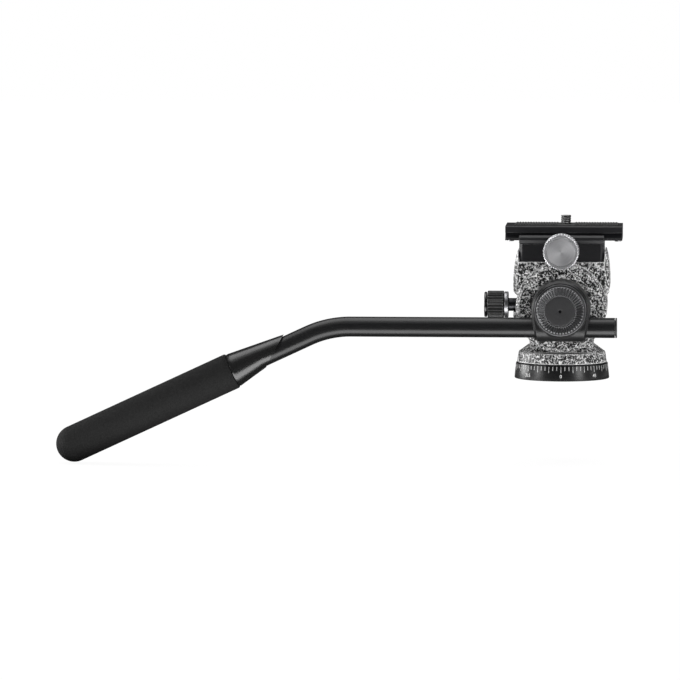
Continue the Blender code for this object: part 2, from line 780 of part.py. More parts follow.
# Tilt lock knob: stem, bright washer, ribbed grip and end cap
lock_flange_x = rear_boss_x + lock_neck
grip_start_x = lock_flange_x + lock_flange + gap
grip_end_x = grip_start_x + lock_grip_length
stem_end_x = grip_start_x + lock_stem_in_grip
piece("tilt_lock_stem", rod(lock_stem_radius, pad_end + gap, stem_end_x, coarse_steps, small_edge),
      tilt_lock, tilt_centre, towards_back, finish=bright_steel)
piece("tilt_lock_washer", washer(lock_stem_radius + gap, lock_flange_radius, lock_flange_x,
                                 lock_flange_x + lock_flange),
      tilt_lock, tilt_centre, towards_back, finish=bright_aluminium)
lock_root = lock_grip_radius - lock_grip_depth
grip_rows = [(lock_root - small_edge, lock_grip_radius - small_edge, grip_start_x),
             (lock_root, lock_grip_radius, grip_start_x + small_edge),
             (lock_root, lock_grip_radius, grip_end_x - small_edge),
             (lock_root - small_edge, lock_grip_radius - small_edge, grip_end_x)]
lock_grip = piece("tilt_lock_knob", toothed(grip_rows, lock_grip_ribs), tilt_lock, tilt_centre,
                  towards_back, finish=black_plastic)
stem_bore = rod(lock_stem_radius + gap, grip_start_x - overrun, stem_end_x + gap, coarse_steps)
combine(lock_grip, tool(stem_bore, tilt_lock, tilt_centre, towards_back), "DIFFERENCE")
cap_x = grip_end_x + gap
cap_end_x = cap_x + lock_cap
lock_cap_profile = [(0, cap_x), (lock_cap_radius, cap_x), (lock_cap_radius, cap_end_x - small_edge * 2),
                    (lock_cap_radius - small_edge * 2, cap_end_x), (0, cap_end_x)]
piece("tilt_lock_cap", turned(lock_cap_profile), tilt_lock, tilt_centre, towards_back, finish=black_gloss)

# Pan lock: shoe on the spindle, stem and lobed knob
shoe_radius = shoe_bore_radius - gap
shoe_start = spindle_radius + brake_clearance
shoe_end = shoe_start + shoe_length
lock_place = (0, 0, pan_lock_z)
shoe = piece("pan_brake_shoe", rod(shoe_radius, shoe_start - shoe_radius, shoe_end, coarse_steps),
             pan_brake, lock_place, away_from_handle, finish=bronze)
spindle_space = rod(spindle_radius + brake_clearance, 0, nut_top_z, fine_steps)
combine(shoe, tool(spindle_space, pan_brake), "DIFFERENCE")
pan_knob_y = boss_face_y + pan_knob_neck
pan_grip_start = pan_knob_y + pan_knob_hub
pan_grip_end = pan_grip_start + pan_knob_length
pan_stem_end = pan_grip_start + pan_stem_in_knob
piece("pan_lock_stem", rod(pan_stem_radius, shoe_end + gap, pan_stem_end, coarse_steps, small_edge),
      pan_lock, lock_place, away_from_handle, finish=bright_steel)
pan_root = pan_knob_radius - pan_knob_depth
hub_row = (pan_knob_hub_radius, pan_knob_hub_radius, pan_knob_y)
pan_rows = [hub_row, (pan_knob_hub_radius, pan_knob_hub_radius, pan_grip_start),
            (pan_root - small_edge, pan_knob_radius - small_edge, pan_grip_start),
            (pan_root, pan_knob_radius, pan_grip_start + small_edge),
            (pan_root, pan_knob_radius, pan_grip_end - small_edge * 2),
            (pan_root - small_edge * 2, pan_knob_radius - small_edge * 2, pan_grip_end)]
pan_grip = piece("pan_lock_knob", toothed(pan_rows, pan_knob_lobes, 4), pan_lock, lock_place,
                 away_from_handle, finish=black_plastic)
pan_stem_bore = rod(pan_stem_radius + gap, pan_knob_y - overrun, pan_stem_end + gap, coarse_steps)
combine(pan_grip, tool(pan_stem_bore, pan_lock, lock_place, away_from_handle), "DIFFERENCE")

# Cradle: the arms' outline bulges front and back and is drawn in towards the top
body_top = body_high_z - tilt_axis_z
front_side = []
for height_share, length_share in zip(body_bulge_heights_share, body_bulge_lengths_share):
    front_side.append((body_half_length * length_share, body_top - body_height * (1 - height_share)))
back_side = [(-x, y) for x, y in reversed(front_side)]
cradle = piece("cradle", extruded(front_side + back_side, -arm_outer_y, arm_outer_y),
               tilt, tilt_centre, towards_handle, finish=speckled_casting)
broken_edges(cradle, body_edge, 1)
for turn in (towards_handle, away_from_handle):
    boss_profile = [(0, arm_inner_y), (boss_radius, arm_inner_y), (boss_radius, boss_face_y - boss_bevel),
                    (boss_face_radius, boss_face_y), (0, boss_face_y)]
    combine(cradle, tool(turned(boss_profile, fine_steps), tilt, tilt_centre, turn), "UNION")
channel = block((-body_half_length - overrun, -arm_inner_y, tilt_axis_z - boss_radius - overrun),
                (body_half_length + overrun, arm_inner_y, seat_z + lip_under_rise))
combine(cradle, tool(channel, tilt), "DIFFERENCE")
pocket = block((-lip_pocket_half, -arm_outer_y - overrun, seat_z),
               (lip_pocket_half, arm_outer_y + overrun, body_high_z + overrun))
combine(cradle, tool(pocket, tilt), "DIFFERENCE")
axle_hole = rod(axle_radius + gap, -boss_face_y - overrun, boss_face_y + overrun, hidden_steps)
combine(cradle, tool(axle_hole, tilt, tilt_centre, towards_handle), "DIFFERENCE")
axle_recess_radius = axle_head_radius + axle_recess_margin
head_seat = rod(axle_recess_radius, boss_face_y - axle_recess, boss_face_y + overrun)
combine(cradle, tool(head_seat, tilt, tilt_centre, towards_handle), "DIFFERENCE")
nut_seat = rod(axle_recess_radius, boss_face_y - nut_recess, boss_face_y + overrun)
combine(cradle, tool(nut_seat, tilt, tilt_centre, away_from_handle), "DIFFERENCE")
clamp_screw_x = clamp_half_length - clamp_screw_end
screw_spots = []
for side in (-1, 1):
    screw_spots.append((side * clamp_screw_x, clamp_screw_front_edge - clamp_front_y, clamp_shelf_z))
    screw_spots.append((side * clamp_screw_x, clamp_back_y - clamp_screw_back_edge, clamp_shelf_z))
screw_low = clamp_shelf_z - gap - clamp_screw_head - clamp_screw_length
for spot in screw_spots:
    screw_hole = rod(clamp_screw_radius + gap, screw_low - gap, body_high_z, coarse_steps)
    combine(cradle, tool(screw_hole, tilt, (spot[0], spot[1], 0)), "DIFFERENCE")

# Axle with a socket for the knob's stud, and its nut on the far side
head_out = boss_face_y - axle_recess + gap + axle_head
nut_in = boss_face_y - nut_recess + gap
axle_tail = -(nut_in + axle_nut - small_edge)
socket_radius = knob_stud_radius + gap
axle_profile = [(0, head_out - axle_socket_depth), (socket_radius, head_out - axle_socket_depth),
                (socket_radius, head_out), (axle_head_radius, head_out),
                (axle_head_radius, head_out - axle_head), (axle_radius, head_out - axle_head),
                (axle_radius, axle_tail), (0, axle_tail)]
piece("tilt_axle", turned(axle_profile, hidden_steps), tilt, tilt_centre, towards_handle, finish=bright_steel)
axle_nut_piece = piece("axle_nut", rod(axle_nut_radius, nut_in, nut_in + axle_nut, 6),
                       tilt, tilt_centre, away_from_handle, finish=bright_steel)
combine(axle_nut_piece, tool(rod(bush_in, nut_in - overrun, nut_in + axle_nut + overrun, hidden_steps),
                             tilt, tilt_centre, away_from_handle), "DIFFERENCE")

# Fibre washer under the collar, and the cap that closes the boss on the spare side
side_washer_y = boss_face_y + gap
piece("collar_washer", washer(axle_radius, side_washer_radius, side_washer_y, side_washer_y + side_washer),
      tilt, tilt_centre, towards_handle, finish=slippery_polymer)
cap_low = boss_face_y + gap
cap_high = cap_low + side_cap_height
spigot_radius = axle_recess_radius - gap
side_cap_profile = [(0, cap_low - side_cap_spigot), (spigot_radius, cap_low - side_cap_spigot),
                    (spigot_radius, cap_low), (side_cap_radius, cap_low),
                    (side_cap_radius, cap_high - side_cap_edge), (side_cap_radius - side_cap_edge, cap_high),
                    (0, cap_high)]
side_cap = piece("side_cap", turned(side_cap_profile), tilt, tilt_centre, away_from_handle,
                 finish=black_anodised)
coin_slot = block((-side_cap_slot_length / 2, -side_cap_slot / 2, cap_high - side_cap_slot_depth),
                  (side_cap_slot_length / 2, side_cap_slot / 2, cap_high + overrun))
combine(side_cap, tool(coin_slot, tilt, tilt_centre, away_from_handle), "DIFFERENCE")

# Clamp's fixed half: block, floor and back jaw, milled from one bar along X
edge_top_z = plate_low_z + dovetail_edge
jaw_top_z = plate_flange_low_z - jaw_plate_gap
clamp_step_y = undercut_y - jaw_step_under
jaw_tip_y = undercut_y + dovetail_clearance - (jaw_top_z - edge_top_z)
undercut_low = edge_top_z - dovetail_clearance
clamp_outline = [(-clamp_front_y, clamp_low_z), (clamp_back_y, clamp_low_z),
                 (clamp_back_y, jaw_top_z - jaw_chamfer), (clamp_back_y - jaw_chamfer, jaw_top_z),
                 (jaw_tip_y, jaw_top_z), (undercut_y, undercut_low + dovetail_clearance * 2),
                 (undercut_y, clamp_floor_z), (-clamp_step_y, clamp_floor_z), (-clamp_step_y, clamp_shelf_z),
                 (-clamp_front_y, clamp_shelf_z)]
# The bar's section is drawn in YZ: turning +Z to +X puts the section's x on +Y and its y on +Z
along_bar = (math.pi / 2, 0, math.pi / 2)
clamp_base = piece("clamp_base", extruded(clamp_outline, -clamp_half_length, clamp_half_length),
                   tilt, turn=along_bar, finish=black_anodised)
for side in (-1, 1):
    for face_y in (-clamp_front_y, clamp_back_y):
        corner = [(-clamp_corner, 0), (0, -clamp_corner), (clamp_corner, 0), (0, clamp_corner)]
        wedge = extruded(corner, clamp_low_z - overrun, jaw_top_z + overrun)
        combine(clamp_base, tool(wedge, tilt, (side * clamp_half_length, face_y, 0)), "DIFFERENCE")
jaw_lip_y = clamp_front_y + jaw_lip
jaw_tongue_low_z = clamp_axis_z - jaw_tongue_drop
tongue_back_y = jaw_lip_y - jaw_tongue_depth
tongue_pocket = block((-jaw_tongue_half - gap, -clamp_front_y - overrun, jaw_tongue_low_z - gap),
                      (jaw_tongue_half + gap, -tongue_back_y + gap, clamp_shelf_z + overrun))
combine(clamp_base, tool(tongue_pocket, tilt), "DIFFERENCE")
clamp_centre = (0, 0, clamp_axis_z)
clamp_stud_end_y = clamp_front_y - clamp_stud_in_block
stud_hole = rod(clamp_stud_radius + gap, clamp_stud_end_y - gap, clamp_front_y + overrun, coarse_steps)
combine(clamp_base, tool(stud_hole, tilt, clamp_centre, towards_handle), "DIFFERENCE")
guide_pin_end_y = clamp_front_y - guide_pin_in_block
pocket_end_y = tongue_back_y - gap - spring_pocket
pin_spots = [(-guide_pin_x, 0, clamp_axis_z), (guide_pin_x, 0, clamp_axis_z)]
for pin_spot in pin_spots:
    pin_hole = rod(guide_pin_radius + gap, guide_pin_end_y - gap, clamp_front_y + overrun, coarse_steps)
    combine(clamp_base, tool(pin_hole, tilt, pin_spot, towards_handle), "DIFFERENCE")
    spring_hole = rod(spring_pocket_radius, pocket_end_y, clamp_front_y + overrun, coarse_steps)
    combine(clamp_base, tool(spring_hole, tilt, pin_spot, towards_handle), "DIFFERENCE")
for spot in screw_spots:
    floor_z = clamp_shelf_z if spot[1] < 0 else clamp_floor_z
    head_low = clamp_shelf_z - gap * 2 - clamp_screw_head
    bolt_hole = turned([(0, clamp_low_z - overrun), (clamp_screw_radius + gap, clamp_low_z - overrun),
                        (clamp_screw_radius + gap, head_low), (clamp_screw_head_radius + gap, head_low),
                        (clamp_screw_head_radius + gap, floor_z + overrun), (0, floor_z + overrun)],
                       coarse_steps)
    combine(clamp_base, tool(bolt_hole, tilt, (spot[0], spot[1], 0)), "DIFFERENCE")
clamp_screw = cap_screw(clamp_screw_radius, clamp_screw_length, clamp_screw_head_radius, clamp_screw_head)
copies("clamp_screw", clamp_screw, tilt, [(x, y, z - gap) for x, y, z in screw_spots], finish=bright_steel)

# Guide pins and return springs of the moving jaw
pin_out_y = jaw_lip_y - guide_pin_sink
guide_pin = rod(guide_pin_radius, guide_pin_end_y, pin_out_y, coarse_steps)
copies("jaw_guide_pin", guide_pin, tilt, pin_spots, towards_handle, bright_steel)


def coil(radius, wire, low, high, turns, steps=8, sides=3):
    """One unbroken round wire wound about +Z."""
    shape = bmesh.new()
    rings = []
    count = turns * steps
    for step in range(count + 1):
        angle = 2 * math.pi * step / steps
        height = low + wire + (high - low - 2 * wire) * step / count
        centre = Vector((radius * math.cos(angle), radius * math.sin(angle), height))
        outward = Vector((math.cos(angle), math.sin(angle), 0))
        ring = []
        for side in range(sides):
            around = 2 * math.pi * side / sides
            offset = outward * math.cos(around) + Vector((0, 0, 1)) * math.sin(around)
            ring.append(shape.verts.new(centre + offset * wire))
        rings.append(ring)
    skin(shape, list(zip(rings, rings[1:])))
    shape.faces.new(rings[0])
    shape.faces.new(rings[-1])
    return finish_mesh("coil", shape)


spring = coil(spring_radius, spring_wire_radius, pocket_end_y + gap, tongue_back_y - gap, spring_turns)
copies("jaw_spring", spring, tilt, pin_spots, towards_handle, bright_steel)

# Moving jaw: lip over the dovetail and a tongue behind the knob
step_in_y = clamp_step_y + gap
jaw_outline = [(-clamp_front_y, clamp_shelf_z + gap), (-step_in_y, clamp_shelf_z + gap),
               (-step_in_y, clamp_floor_z - gap), (-undercut_y, clamp_floor_z),
               (-undercut_y, undercut_low + dovetail_clearance * 2), (-jaw_tip_y, jaw_top_z),
               (-jaw_lip_y + jaw_chamfer, jaw_top_z), (-jaw_lip_y, jaw_top_z - jaw_chamfer),
               (-jaw_lip_y, jaw_top_z - jaw_bevel)]
clamp_jaw = piece("clamp_jaw", extruded(jaw_outline, -clamp_half_length, clamp_half_length),
                  jaw, turn=along_bar, finish=black_anodised)
tongue = block((-jaw_tongue_half, -jaw_lip_y, jaw_tongue_low_z),
               (jaw_tongue_half, -tongue_back_y, clamp_shelf_z + gap * 2))
combine(clamp_jaw, tool(tongue, jaw), "UNION")
jaw_stud_hole = rod(clamp_stud_radius + gap, clamp_step_y, jaw_lip_y + overrun, coarse_steps)
combine(clamp_jaw, tool(jaw_stud_hole, jaw, clamp_centre, towards_handle), "DIFFERENCE")
for pin_spot in pin_spots:
    guide_hole = rod(guide_pin_radius + gap, clamp_step_y, pin_out_y + gap, coarse_steps)
    combine(clamp_jaw, tool(guide_hole, jaw, pin_spot, towards_handle), "DIFFERENCE")

# Clamp knob: knurled aluminium, dished face with its own cap, on a steel stud
clamp_knob_y = jaw_lip_y + gap
clamp_knob_face_radius = clamp_knob_radius - clamp_knob_face_margin
clamp_knob_cap_radius = clamp_knob_face_radius - clamp_knob_cap_margin
knob_end_y = clamp_knob_y + clamp_knob_length
knurl_root = clamp_knob_radius - clamp_knob_depth
stud_out_y = clamp_knob_y + clamp_stud_in_knob
face_y = knob_end_y - clamp_knob_cap
knurl_y = clamp_knob_y + clamp_knob_hub
knurl_rows = [(clamp_knob_hub_radius, clamp_knob_hub_radius, clamp_knob_y),
              (clamp_knob_hub_radius, clamp_knob_hub_radius, knurl_y),
              (knurl_root, clamp_knob_radius - clamp_knob_chamfer / 2, knurl_y + gap),
              (knurl_root, clamp_knob_radius, knurl_y + clamp_knob_chamfer),
              (knurl_root, clamp_knob_radius, knob_end_y - clamp_knob_chamfer),
              (clamp_knob_face_radius, clamp_knob_face_radius, knob_end_y)]
clamp_knob = piece("clamp_knob", toothed(knurl_rows, clamp_knob_teeth), clamp_turn, clamp_centre,
                   towards_handle, finish=bright_aluminium)
clamp_stud_bore = rod(clamp_stud_radius + gap, clamp_knob_y - overrun, stud_out_y + gap, coarse_steps)
combine(clamp_knob, tool(clamp_stud_bore, clamp_turn, clamp_centre, towards_handle), "DIFFERENCE")
dish = rod(clamp_knob_cap_radius + gap, face_y, knob_end_y + overrun)
combine(clamp_knob, tool(dish, clamp_turn, clamp_centre, towards_handle), "DIFFERENCE")
piece("clamp_knob_cap", rod(clamp_knob_cap_radius, face_y + gap, knob_end_y - gap / 2, round_steps),
      clamp_turn, clamp_centre, towards_handle, finish=bright_aluminium)
piece("clamp_stud", rod(clamp_stud_radius, clamp_stud_end_y, stud_out_y, coarse_steps, small_edge),
      clamp_turn, clamp_centre, towards_handle, finish=bright_steel)

# Dovetail plate, drawn as a section and cut for the pad, the camera screw and the stop screws
dovetail_height = plate_under_height - dovetail_edge - dovetail_neck
stop_back_x = -(clamp_half_length + plate_travel_front + stop_screw_head_radius)
stop_front_x = clamp_half_length + plate_travel_back + stop_screw_head_radius
plate_back_x = stop_back_x - stop_screw_inset
plate_front_x = stop_front_x + stop_screw_inset
neck_half = dovetail_half_width - dovetail_height
half_section = [(dovetail_half_width, plate_low_z), (dovetail_half_width, edge_top_z),
                (neck_half, edge_top_z + dovetail_height), (neck_half, plate_flange_low_z),
                (plate_half_width, plate_flange_low_z), (plate_half_width, plate_top_z - plate_edge),
                (plate_half_width - plate_edge, plate_top_z)]
other_half = [(-y, z) for y, z in reversed(half_section)]
plate_body = piece("plate_body", extruded(half_section + other_half, plate_back_x, plate_front_x),
                   plate, turn=along_bar, finish=black_anodised)
pad_low_z = plate_top_z - pad_sink
pad_top_z = plate_top_z + pad_proud
pad_back_x = plate_back_x + pad_back_margin
pad_front_x = plate_front_x - pad_front_margin
pad_half_width = plate_half_width - pad_side_margin
pad_bed = block((pad_back_x - gap, -pad_half_width - gap, pad_low_z - gap),
                (pad_front_x + gap, pad_half_width + gap, plate_top_z + overrun))
combine(plate_body, tool(pad_bed, plate), "DIFFERENCE")
screw_place = (camera_screw_x, 0, 0)
head_top_z = plate_low_z + gap + camera_screw_head
retainer_z = pad_low_z - gap - retainer_height - gap
screw_head_hole = camera_screw_head_radius + gap
screw_shank_hole = camera_screw_radius + gap
retainer_hole = retainer_radius + gap
screw_space = turned([(0, plate_low_z - overrun), (screw_head_hole, plate_low_z - overrun),
                      (screw_head_hole, head_top_z + gap), (screw_shank_hole, head_top_z + gap),
                      (screw_shank_hole, retainer_z - gap), (retainer_hole, retainer_z - gap),
                      (retainer_hole, plate_top_z + overrun), (0, plate_top_z + overrun)])
combine(plate_body, tool(screw_space, plate, screw_place), "DIFFERENCE")
stop_spots = [(stop_back_x, 0), (stop_front_x, 0)]
stop_top_z = plate_low_z + stop_screw_length
for spot in stop_spots:
    stop_hole = rod(stop_screw_radius + gap, plate_low_z - overrun, stop_top_z + gap, coarse_steps)
    combine(plate_body, tool(stop_hole, plate, (spot[0], spot[1], 0)), "DIFFERENCE")
stop_screw = cap_screw(stop_screw_radius, stop_screw_length + gap, stop_screw_head_radius, stop_screw_head)
stop_low_z = plate_low_z - gap - stop_screw_head
copies("plate_stop_screw", stop_screw, plate, [(x, y, stop_low_z) for x, y in stop_spots], upside_down,
       bright_steel)
pad = piece("plate_pad", block((pad_back_x, -pad_half_width, pad_low_z),
                               (pad_front_x, pad_half_width, pad_top_z)),
            plate, finish=rubber)
pad_hole = rod(screw_shank_hole, pad_low_z - overrun, pad_top_z + overrun)
combine(pad, tool(pad_hole, plate, screw_place), "DIFFERENCE")

# Camera screw, with a slotted head below and a retaining ring under the pad
camera_screw_top_z = pad_top_z + camera_screw_proud
neck_low_z = retainer_z - gap
neck_high_z = retainer_z + retainer_height + gap
camera_profile = [(0, plate_low_z + gap), (camera_screw_head_radius, plate_low_z + gap),
                  (camera_screw_head_radius, head_top_z), (camera_screw_radius, head_top_z),
                  (camera_screw_radius, neck_low_z), (camera_screw_neck_radius, neck_low_z),
                  (camera_screw_neck_radius, neck_high_z), (camera_screw_radius, neck_high_z),
                  (camera_screw_radius, camera_screw_top_z - small_edge),
                  (camera_screw_radius - small_edge, camera_screw_top_z), (0, camera_screw_top_z)]
camera_screw = piece("camera_screw", turned(camera_profile), camera, screw_place, finish=bright_steel)
turn_slot = block((-camera_screw_head_radius - overrun, -camera_slot_width / 2, plate_low_z - overrun),
                  (camera_screw_head_radius + overrun, camera_slot_width / 2,
                   plate_low_z + gap + camera_slot_depth))
combine(camera_screw, tool(turn_slot, camera, screw_place), "DIFFERENCE")
retainer = piece("screw_retainer", washer(camera_screw_neck_radius + gap, retainer_radius, retainer_z,
                                          retainer_z + retainer_height),
                 camera, screw_place, finish=bright_steel)
retainer_mouth = block((0, -camera_screw_neck_radius, retainer_z - overrun / 4),
                       (retainer_radius + overrun, camera_screw_neck_radius,
                        retainer_z + retainer_height + overrun / 4))
combine(retainer, tool(retainer_mouth, camera, screw_place), "DIFFERENCE")

# Collar: the round seat about the tilt axis runs down into a split sleeve for the tube
sleeve_radius = tube_radius + gap + sleeve_wall_below
sleeve_low = tube_axis_z - sleeve_radius - tilt_axis_z
collar_waist = -collar_waist_drop
collar_front_radius = collar_back_radius - collar_taper
collar_waist_half = collar_front_radius - collar_waist_inset
collar_foot_half = collar_front_radius - collar_foot_inset
seat_profile = [(0, collar_back_y), (collar_back_radius, collar_back_y),
                (collar_back_radius, collar_back_y + collar_back_rim),
                (collar_front_radius, collar_front_y - collar_edge),
                (collar_front_radius - collar_edge, collar_front_y), (0, collar_front_y)]
handle_collar = piece("handle_collar", turned(seat_profile, fine_steps), collar, tilt_centre,
                      towards_handle, finish=black_anodised)
shoulder_half = math.sqrt(collar_front_radius ** 2 - collar_foot_top ** 2) - gap
foot_outline = [(-collar_foot_half, sleeve_low), (collar_foot_half, sleeve_low),
                (collar_waist_half, collar_waist), (shoulder_half, collar_foot_top),
                (-shoulder_half, collar_foot_top), (-collar_waist_half, collar_waist)]
foot = tool(extruded(foot_outline, collar_back_y - overrun, collar_front_y + overrun),
            collar, tilt_centre, towards_handle)
foot_half = (collar_front_y - collar_back_y) / 2 - collar_face_step
sleeve_section = [(-tube_axis_y - foot_half, tilt_axis_z + overrun)]
for step in range(11):
    angle = math.pi * step / 10
    sleeve_section.append((-tube_axis_y - foot_half * math.cos(angle),
                           tube_axis_z - sleeve_radius * math.sin(angle)))
sleeve_section.append((-tube_axis_y + foot_half, tilt_axis_z + overrun))
sleeve_form = extruded(sleeve_section, -collar_back_radius - overrun, collar_back_radius + overrun)
combine(foot, tool(sleeve_form, collar, turn=along_bar), "INTERSECT")
broken_edges(foot, collar_edge, 1)
combine(handle_collar, foot, "UNION")
tube_hole = rod(tube_radius + gap, -collar_back_radius - overrun, collar_back_radius + overrun)
tube_place = (0, -tube_axis_y, tube_axis_z)
combine(handle_collar, tool(tube_hole, collar, tube_place, towards_front), "DIFFERENCE")
knob_hole = rod(knob_stud_radius + gap, collar_back_y - overrun, collar_front_y + overrun, coarse_steps)
combine(handle_collar, tool(knob_hole, collar, tilt_centre, towards_handle), "DIFFERENCE")
slit_low = (-collar_back_radius - overrun, -collar_slit / 2 - tube_axis_y,
            tube_axis_z - sleeve_radius - overrun)
slit_high = (collar_back_radius + overrun, collar_slit / 2 - tube_axis_y, tilt_axis_z + collar_slit_rise)
combine(handle_collar, tool(block(slit_low, slit_high), collar), "DIFFERENCE")

# Handle knob: steel washer, serrated cone with an inset cap, on a stud that screws into the axle
knob_washer_y = collar_front_y + gap
knob_y = knob_washer_y + knob_flange + gap
knob_top_y = knob_y + knob_height
stud_in_y = head_out - axle_socket_depth + gap * 2
stud_out = knob_y + stud_in_knob
piece("knob_stud", rod(knob_stud_radius, stud_in_y, stud_out, coarse_steps, small_edge),
      handle_turn, tilt_centre, towards_handle, finish=bright_steel)
flange_profile = [(knob_stud_radius + gap, knob_washer_y), (knob_flange_radius, knob_washer_y),
                  (knob_flange_radius, knob_washer_y + knob_flange - small_edge),
                  (knob_flange_radius - small_edge, knob_washer_y + knob_flange),
                  (knob_stud_radius + gap, knob_washer_y + knob_flange)]
piece("knob_flange", turned(flange_profile), handle_turn, tilt_centre, towards_handle,
      finish=grey_knob)
cone_rows = [(knob_foot_radius, knob_foot_radius, knob_y),
             (knob_foot_radius, knob_foot_radius, knob_y + knob_rim),
             (knob_foot_radius - knob_tooth_depth * 1.6, knob_foot_radius - knob_tooth_depth / 2,
              knob_y + knob_rim + small_edge),
             (knob_top_radius - knob_tooth_depth, knob_top_radius, knob_top_y)]
handle_knob = piece("handle_knob", toothed(cone_rows, knob_teeth), handle_turn, tilt_centre,
                    towards_handle, finish=grey_knob)
knob_stud_bore = rod(knob_stud_radius + gap, knob_y - overrun, stud_out + gap, coarse_steps)
combine(handle_knob, tool(knob_stud_bore, handle_turn, tilt_centre, towards_handle), "DIFFERENCE")
cap_bed_y = knob_top_y - knob_cap
knob_cap_radius = knob_top_radius - knob_cap_margin
cap_bed = rod(knob_cap_radius, cap_bed_y, knob_top_y + overrun)
combine(handle_knob, tool(cap_bed, handle_turn, tilt_centre, towards_handle), "DIFFERENCE")
cap_radius = knob_cap_radius - gap
cap_profile = [(0, cap_bed_y + gap), (cap_radius, cap_bed_y + gap), (cap_radius, knob_top_y - gap),
               (cap_radius - gap, knob_top_y), (knob_cap_dimple, knob_top_y),
               (knob_cap_dimple_floor, knob_top_y - gap), (0, knob_top_y - gap)]
piece("handle_knob_cap", turned(cap_profile), handle_turn, tilt_centre, towards_handle, finish=grey_knob)


# Where the bent handle runs, and what sits along it
bend_cut_back = bend_radius * math.tan(bend_angle / 2)
grip_start = bend_cut_back + straight_after_bend + ferrule_top_length
tube_tail = grip_start + tube_in_grip
tube_front_x = collar_back_radius + tube_front_reach


def handle_point(distance):
    """The tube's centre at a distance past the bend's corner, as x and z."""
    return (bend_x - distance * math.cos(bend_angle), tube_axis_z - distance * math.sin(bend_angle))


def tube_stations():
    """Centres and headings along the tube, from its front end round the bend to its tail."""
    stations = [(tube_front_x, tube_axis_z, 0.0)]
    for step in range(bend_steps + 1):
        angle = bend_angle * step / bend_steps
        x = bend_x + bend_cut_back - bend_radius * math.sin(angle)
        z = tube_axis_z - bend_radius * (1 - math.cos(angle))
        stations.append((x, z, angle))
    tail_x, tail_z = handle_point(tube_tail)
    stations.append((tail_x, tail_z, bend_angle))
    return stations


def tube_mesh(outer, inner, steps=round_steps):
    shape = bmesh.new()
    skins = []
    for radius in (outer, inner):
        rings = []
        for x, z, heading in tube_stations():
            ring = []
            for step in range(steps):
                angle = 2 * math.pi * step / steps
                rise = radius * math.sin(angle)
                ring.append(shape.verts.new((x - rise * math.sin(heading), radius * math.cos(angle),
                                             z - tube_axis_z + rise * math.cos(heading))))
            rings.append(ring)
        skin(shape, list(zip(rings, rings[1:])))
        skins.append(rings)
    skin(shape, [(skins[0][0], skins[1][0]), (skins[0][-1], skins[1][-1])])
    return finish_mesh("tube", shape)


# Handle tube, its front plug, the ferrule and the grip
piece("handle_tube", tube_mesh(tube_radius, tube_radius - tube_wall), handle, tube_place,
      finish=black_anodised)
plug_radius = tube_radius - tube_wall - gap
plug_lip = tube_front_x + gap
plug_outline = [(0, tube_front_x - tube_plug_depth), (plug_radius, tube_front_x - tube_plug_depth),
                (plug_radius, plug_lip), (tube_radius, plug_lip),
                (tube_radius, plug_lip + tube_plug_cap - small_edge),
                (tube_radius - small_edge, plug_lip + tube_plug_cap), (0, plug_lip + tube_plug_cap)]
piece("tube_plug", turned(plug_outline), handle, tube_place, towards_front, finish=black_plastic)

grip_x, grip_z = handle_point(grip_start)
down_handle = (0, -(math.pi / 2 + bend_angle), 0)
up_handle = (0, math.pi / 2 - bend_angle, 0)
bore = tube_radius + gap
grip_outline = [(bore, 0), (grip_radius - grip_edge, 0), (grip_radius, grip_edge), (grip_radius, grip_length)]
for step in range(1, grip_round_steps):
    angle = math.pi / 2 * step / grip_round_steps
    grip_outline.append((grip_radius * math.cos(angle), grip_length + grip_radius * math.sin(angle)))
grip_outline += [(small_edge, grip_length + grip_radius), (0, grip_length + grip_radius),
                 (0, tube_in_grip + gap), (bore, tube_in_grip + gap)]
piece("grip", turned(grip_outline), handle, (grip_x, -tube_axis_y, grip_z), down_handle, finish=foam)


ferrule_radius = grip_radius - ferrule_step
ferrule_tip_offset = tube_radius + ferrule_tip_wall
ferrule_foot_offset = tube_radius + ferrule_foot_wall


def ferrule_mesh(steps=round_steps):
    """Lofted rings that grow from the tube to the grip, and end on a slanted plane at the mouth."""
    slant = (ferrule_top_length - ferrule_foot_length) / (ferrule_tip_offset + ferrule_foot_offset)
    shape = bmesh.new()

    def outside(angle, along):
        foot_share = min(1.0, along / ferrule_foot_length)
        top = ferrule_radius + (ferrule_tip_offset - ferrule_radius) * along / ferrule_top_length
        foot_offset = ferrule_radius + (ferrule_foot_offset - ferrule_radius) * foot_share
        middle = (top - foot_offset) / 2
        half = (top + foot_offset) / 2
        return (middle + half * math.sin(angle), top * math.cos(angle))

    def inside(angle, along):
        return (bore * math.sin(angle), bore * math.cos(angle))

    def mouth(form, angle):
        along = ferrule_foot_length
        for _ in range(40):
            height = form(angle, along)[0]
            along = ferrule_foot_length + slant * (height + ferrule_foot_offset)
        return along

    skins = []
    for form in (outside, inside):
        ends = [mouth(form, 2 * math.pi * step / steps) for step in range(steps)]
        rings = []
        for row in range(ferrule_rings):
            ring = []
            for step in range(steps):
                angle = 2 * math.pi * step / steps
                along = ends[step] * row / (ferrule_rings - 1)
                height, across = form(angle, along)
                ring.append(shape.verts.new((-height, across, along)))
            rings.append(ring)
        skin(shape, list(zip(rings, rings[1:])))
        skins.append(rings)
    skin(shape, [(skins[0][0], skins[1][0]), (skins[0][-1], skins[1][-1])])
    return finish_mesh("ferrule", shape)


ferrule_x, ferrule_z = handle_point(grip_start - gap)
piece("ferrule", ferrule_mesh(), handle, (ferrule_x, -tube_axis_y, ferrule_z), up_handle, finish=black_gloss)

# Corners that the cuts left on top of each other become one
for shaped in list(bpy.data.objects):
    if any(change.type == "BOOLEAN" for change in shaped.modifiers):
        seam = shaped.modifiers.new("seam", "WELD")
        seam.merge_threshold = seam_distance
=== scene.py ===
import math

import bmesh
import bpy
from mathutils import Euler, Matrix, Vector


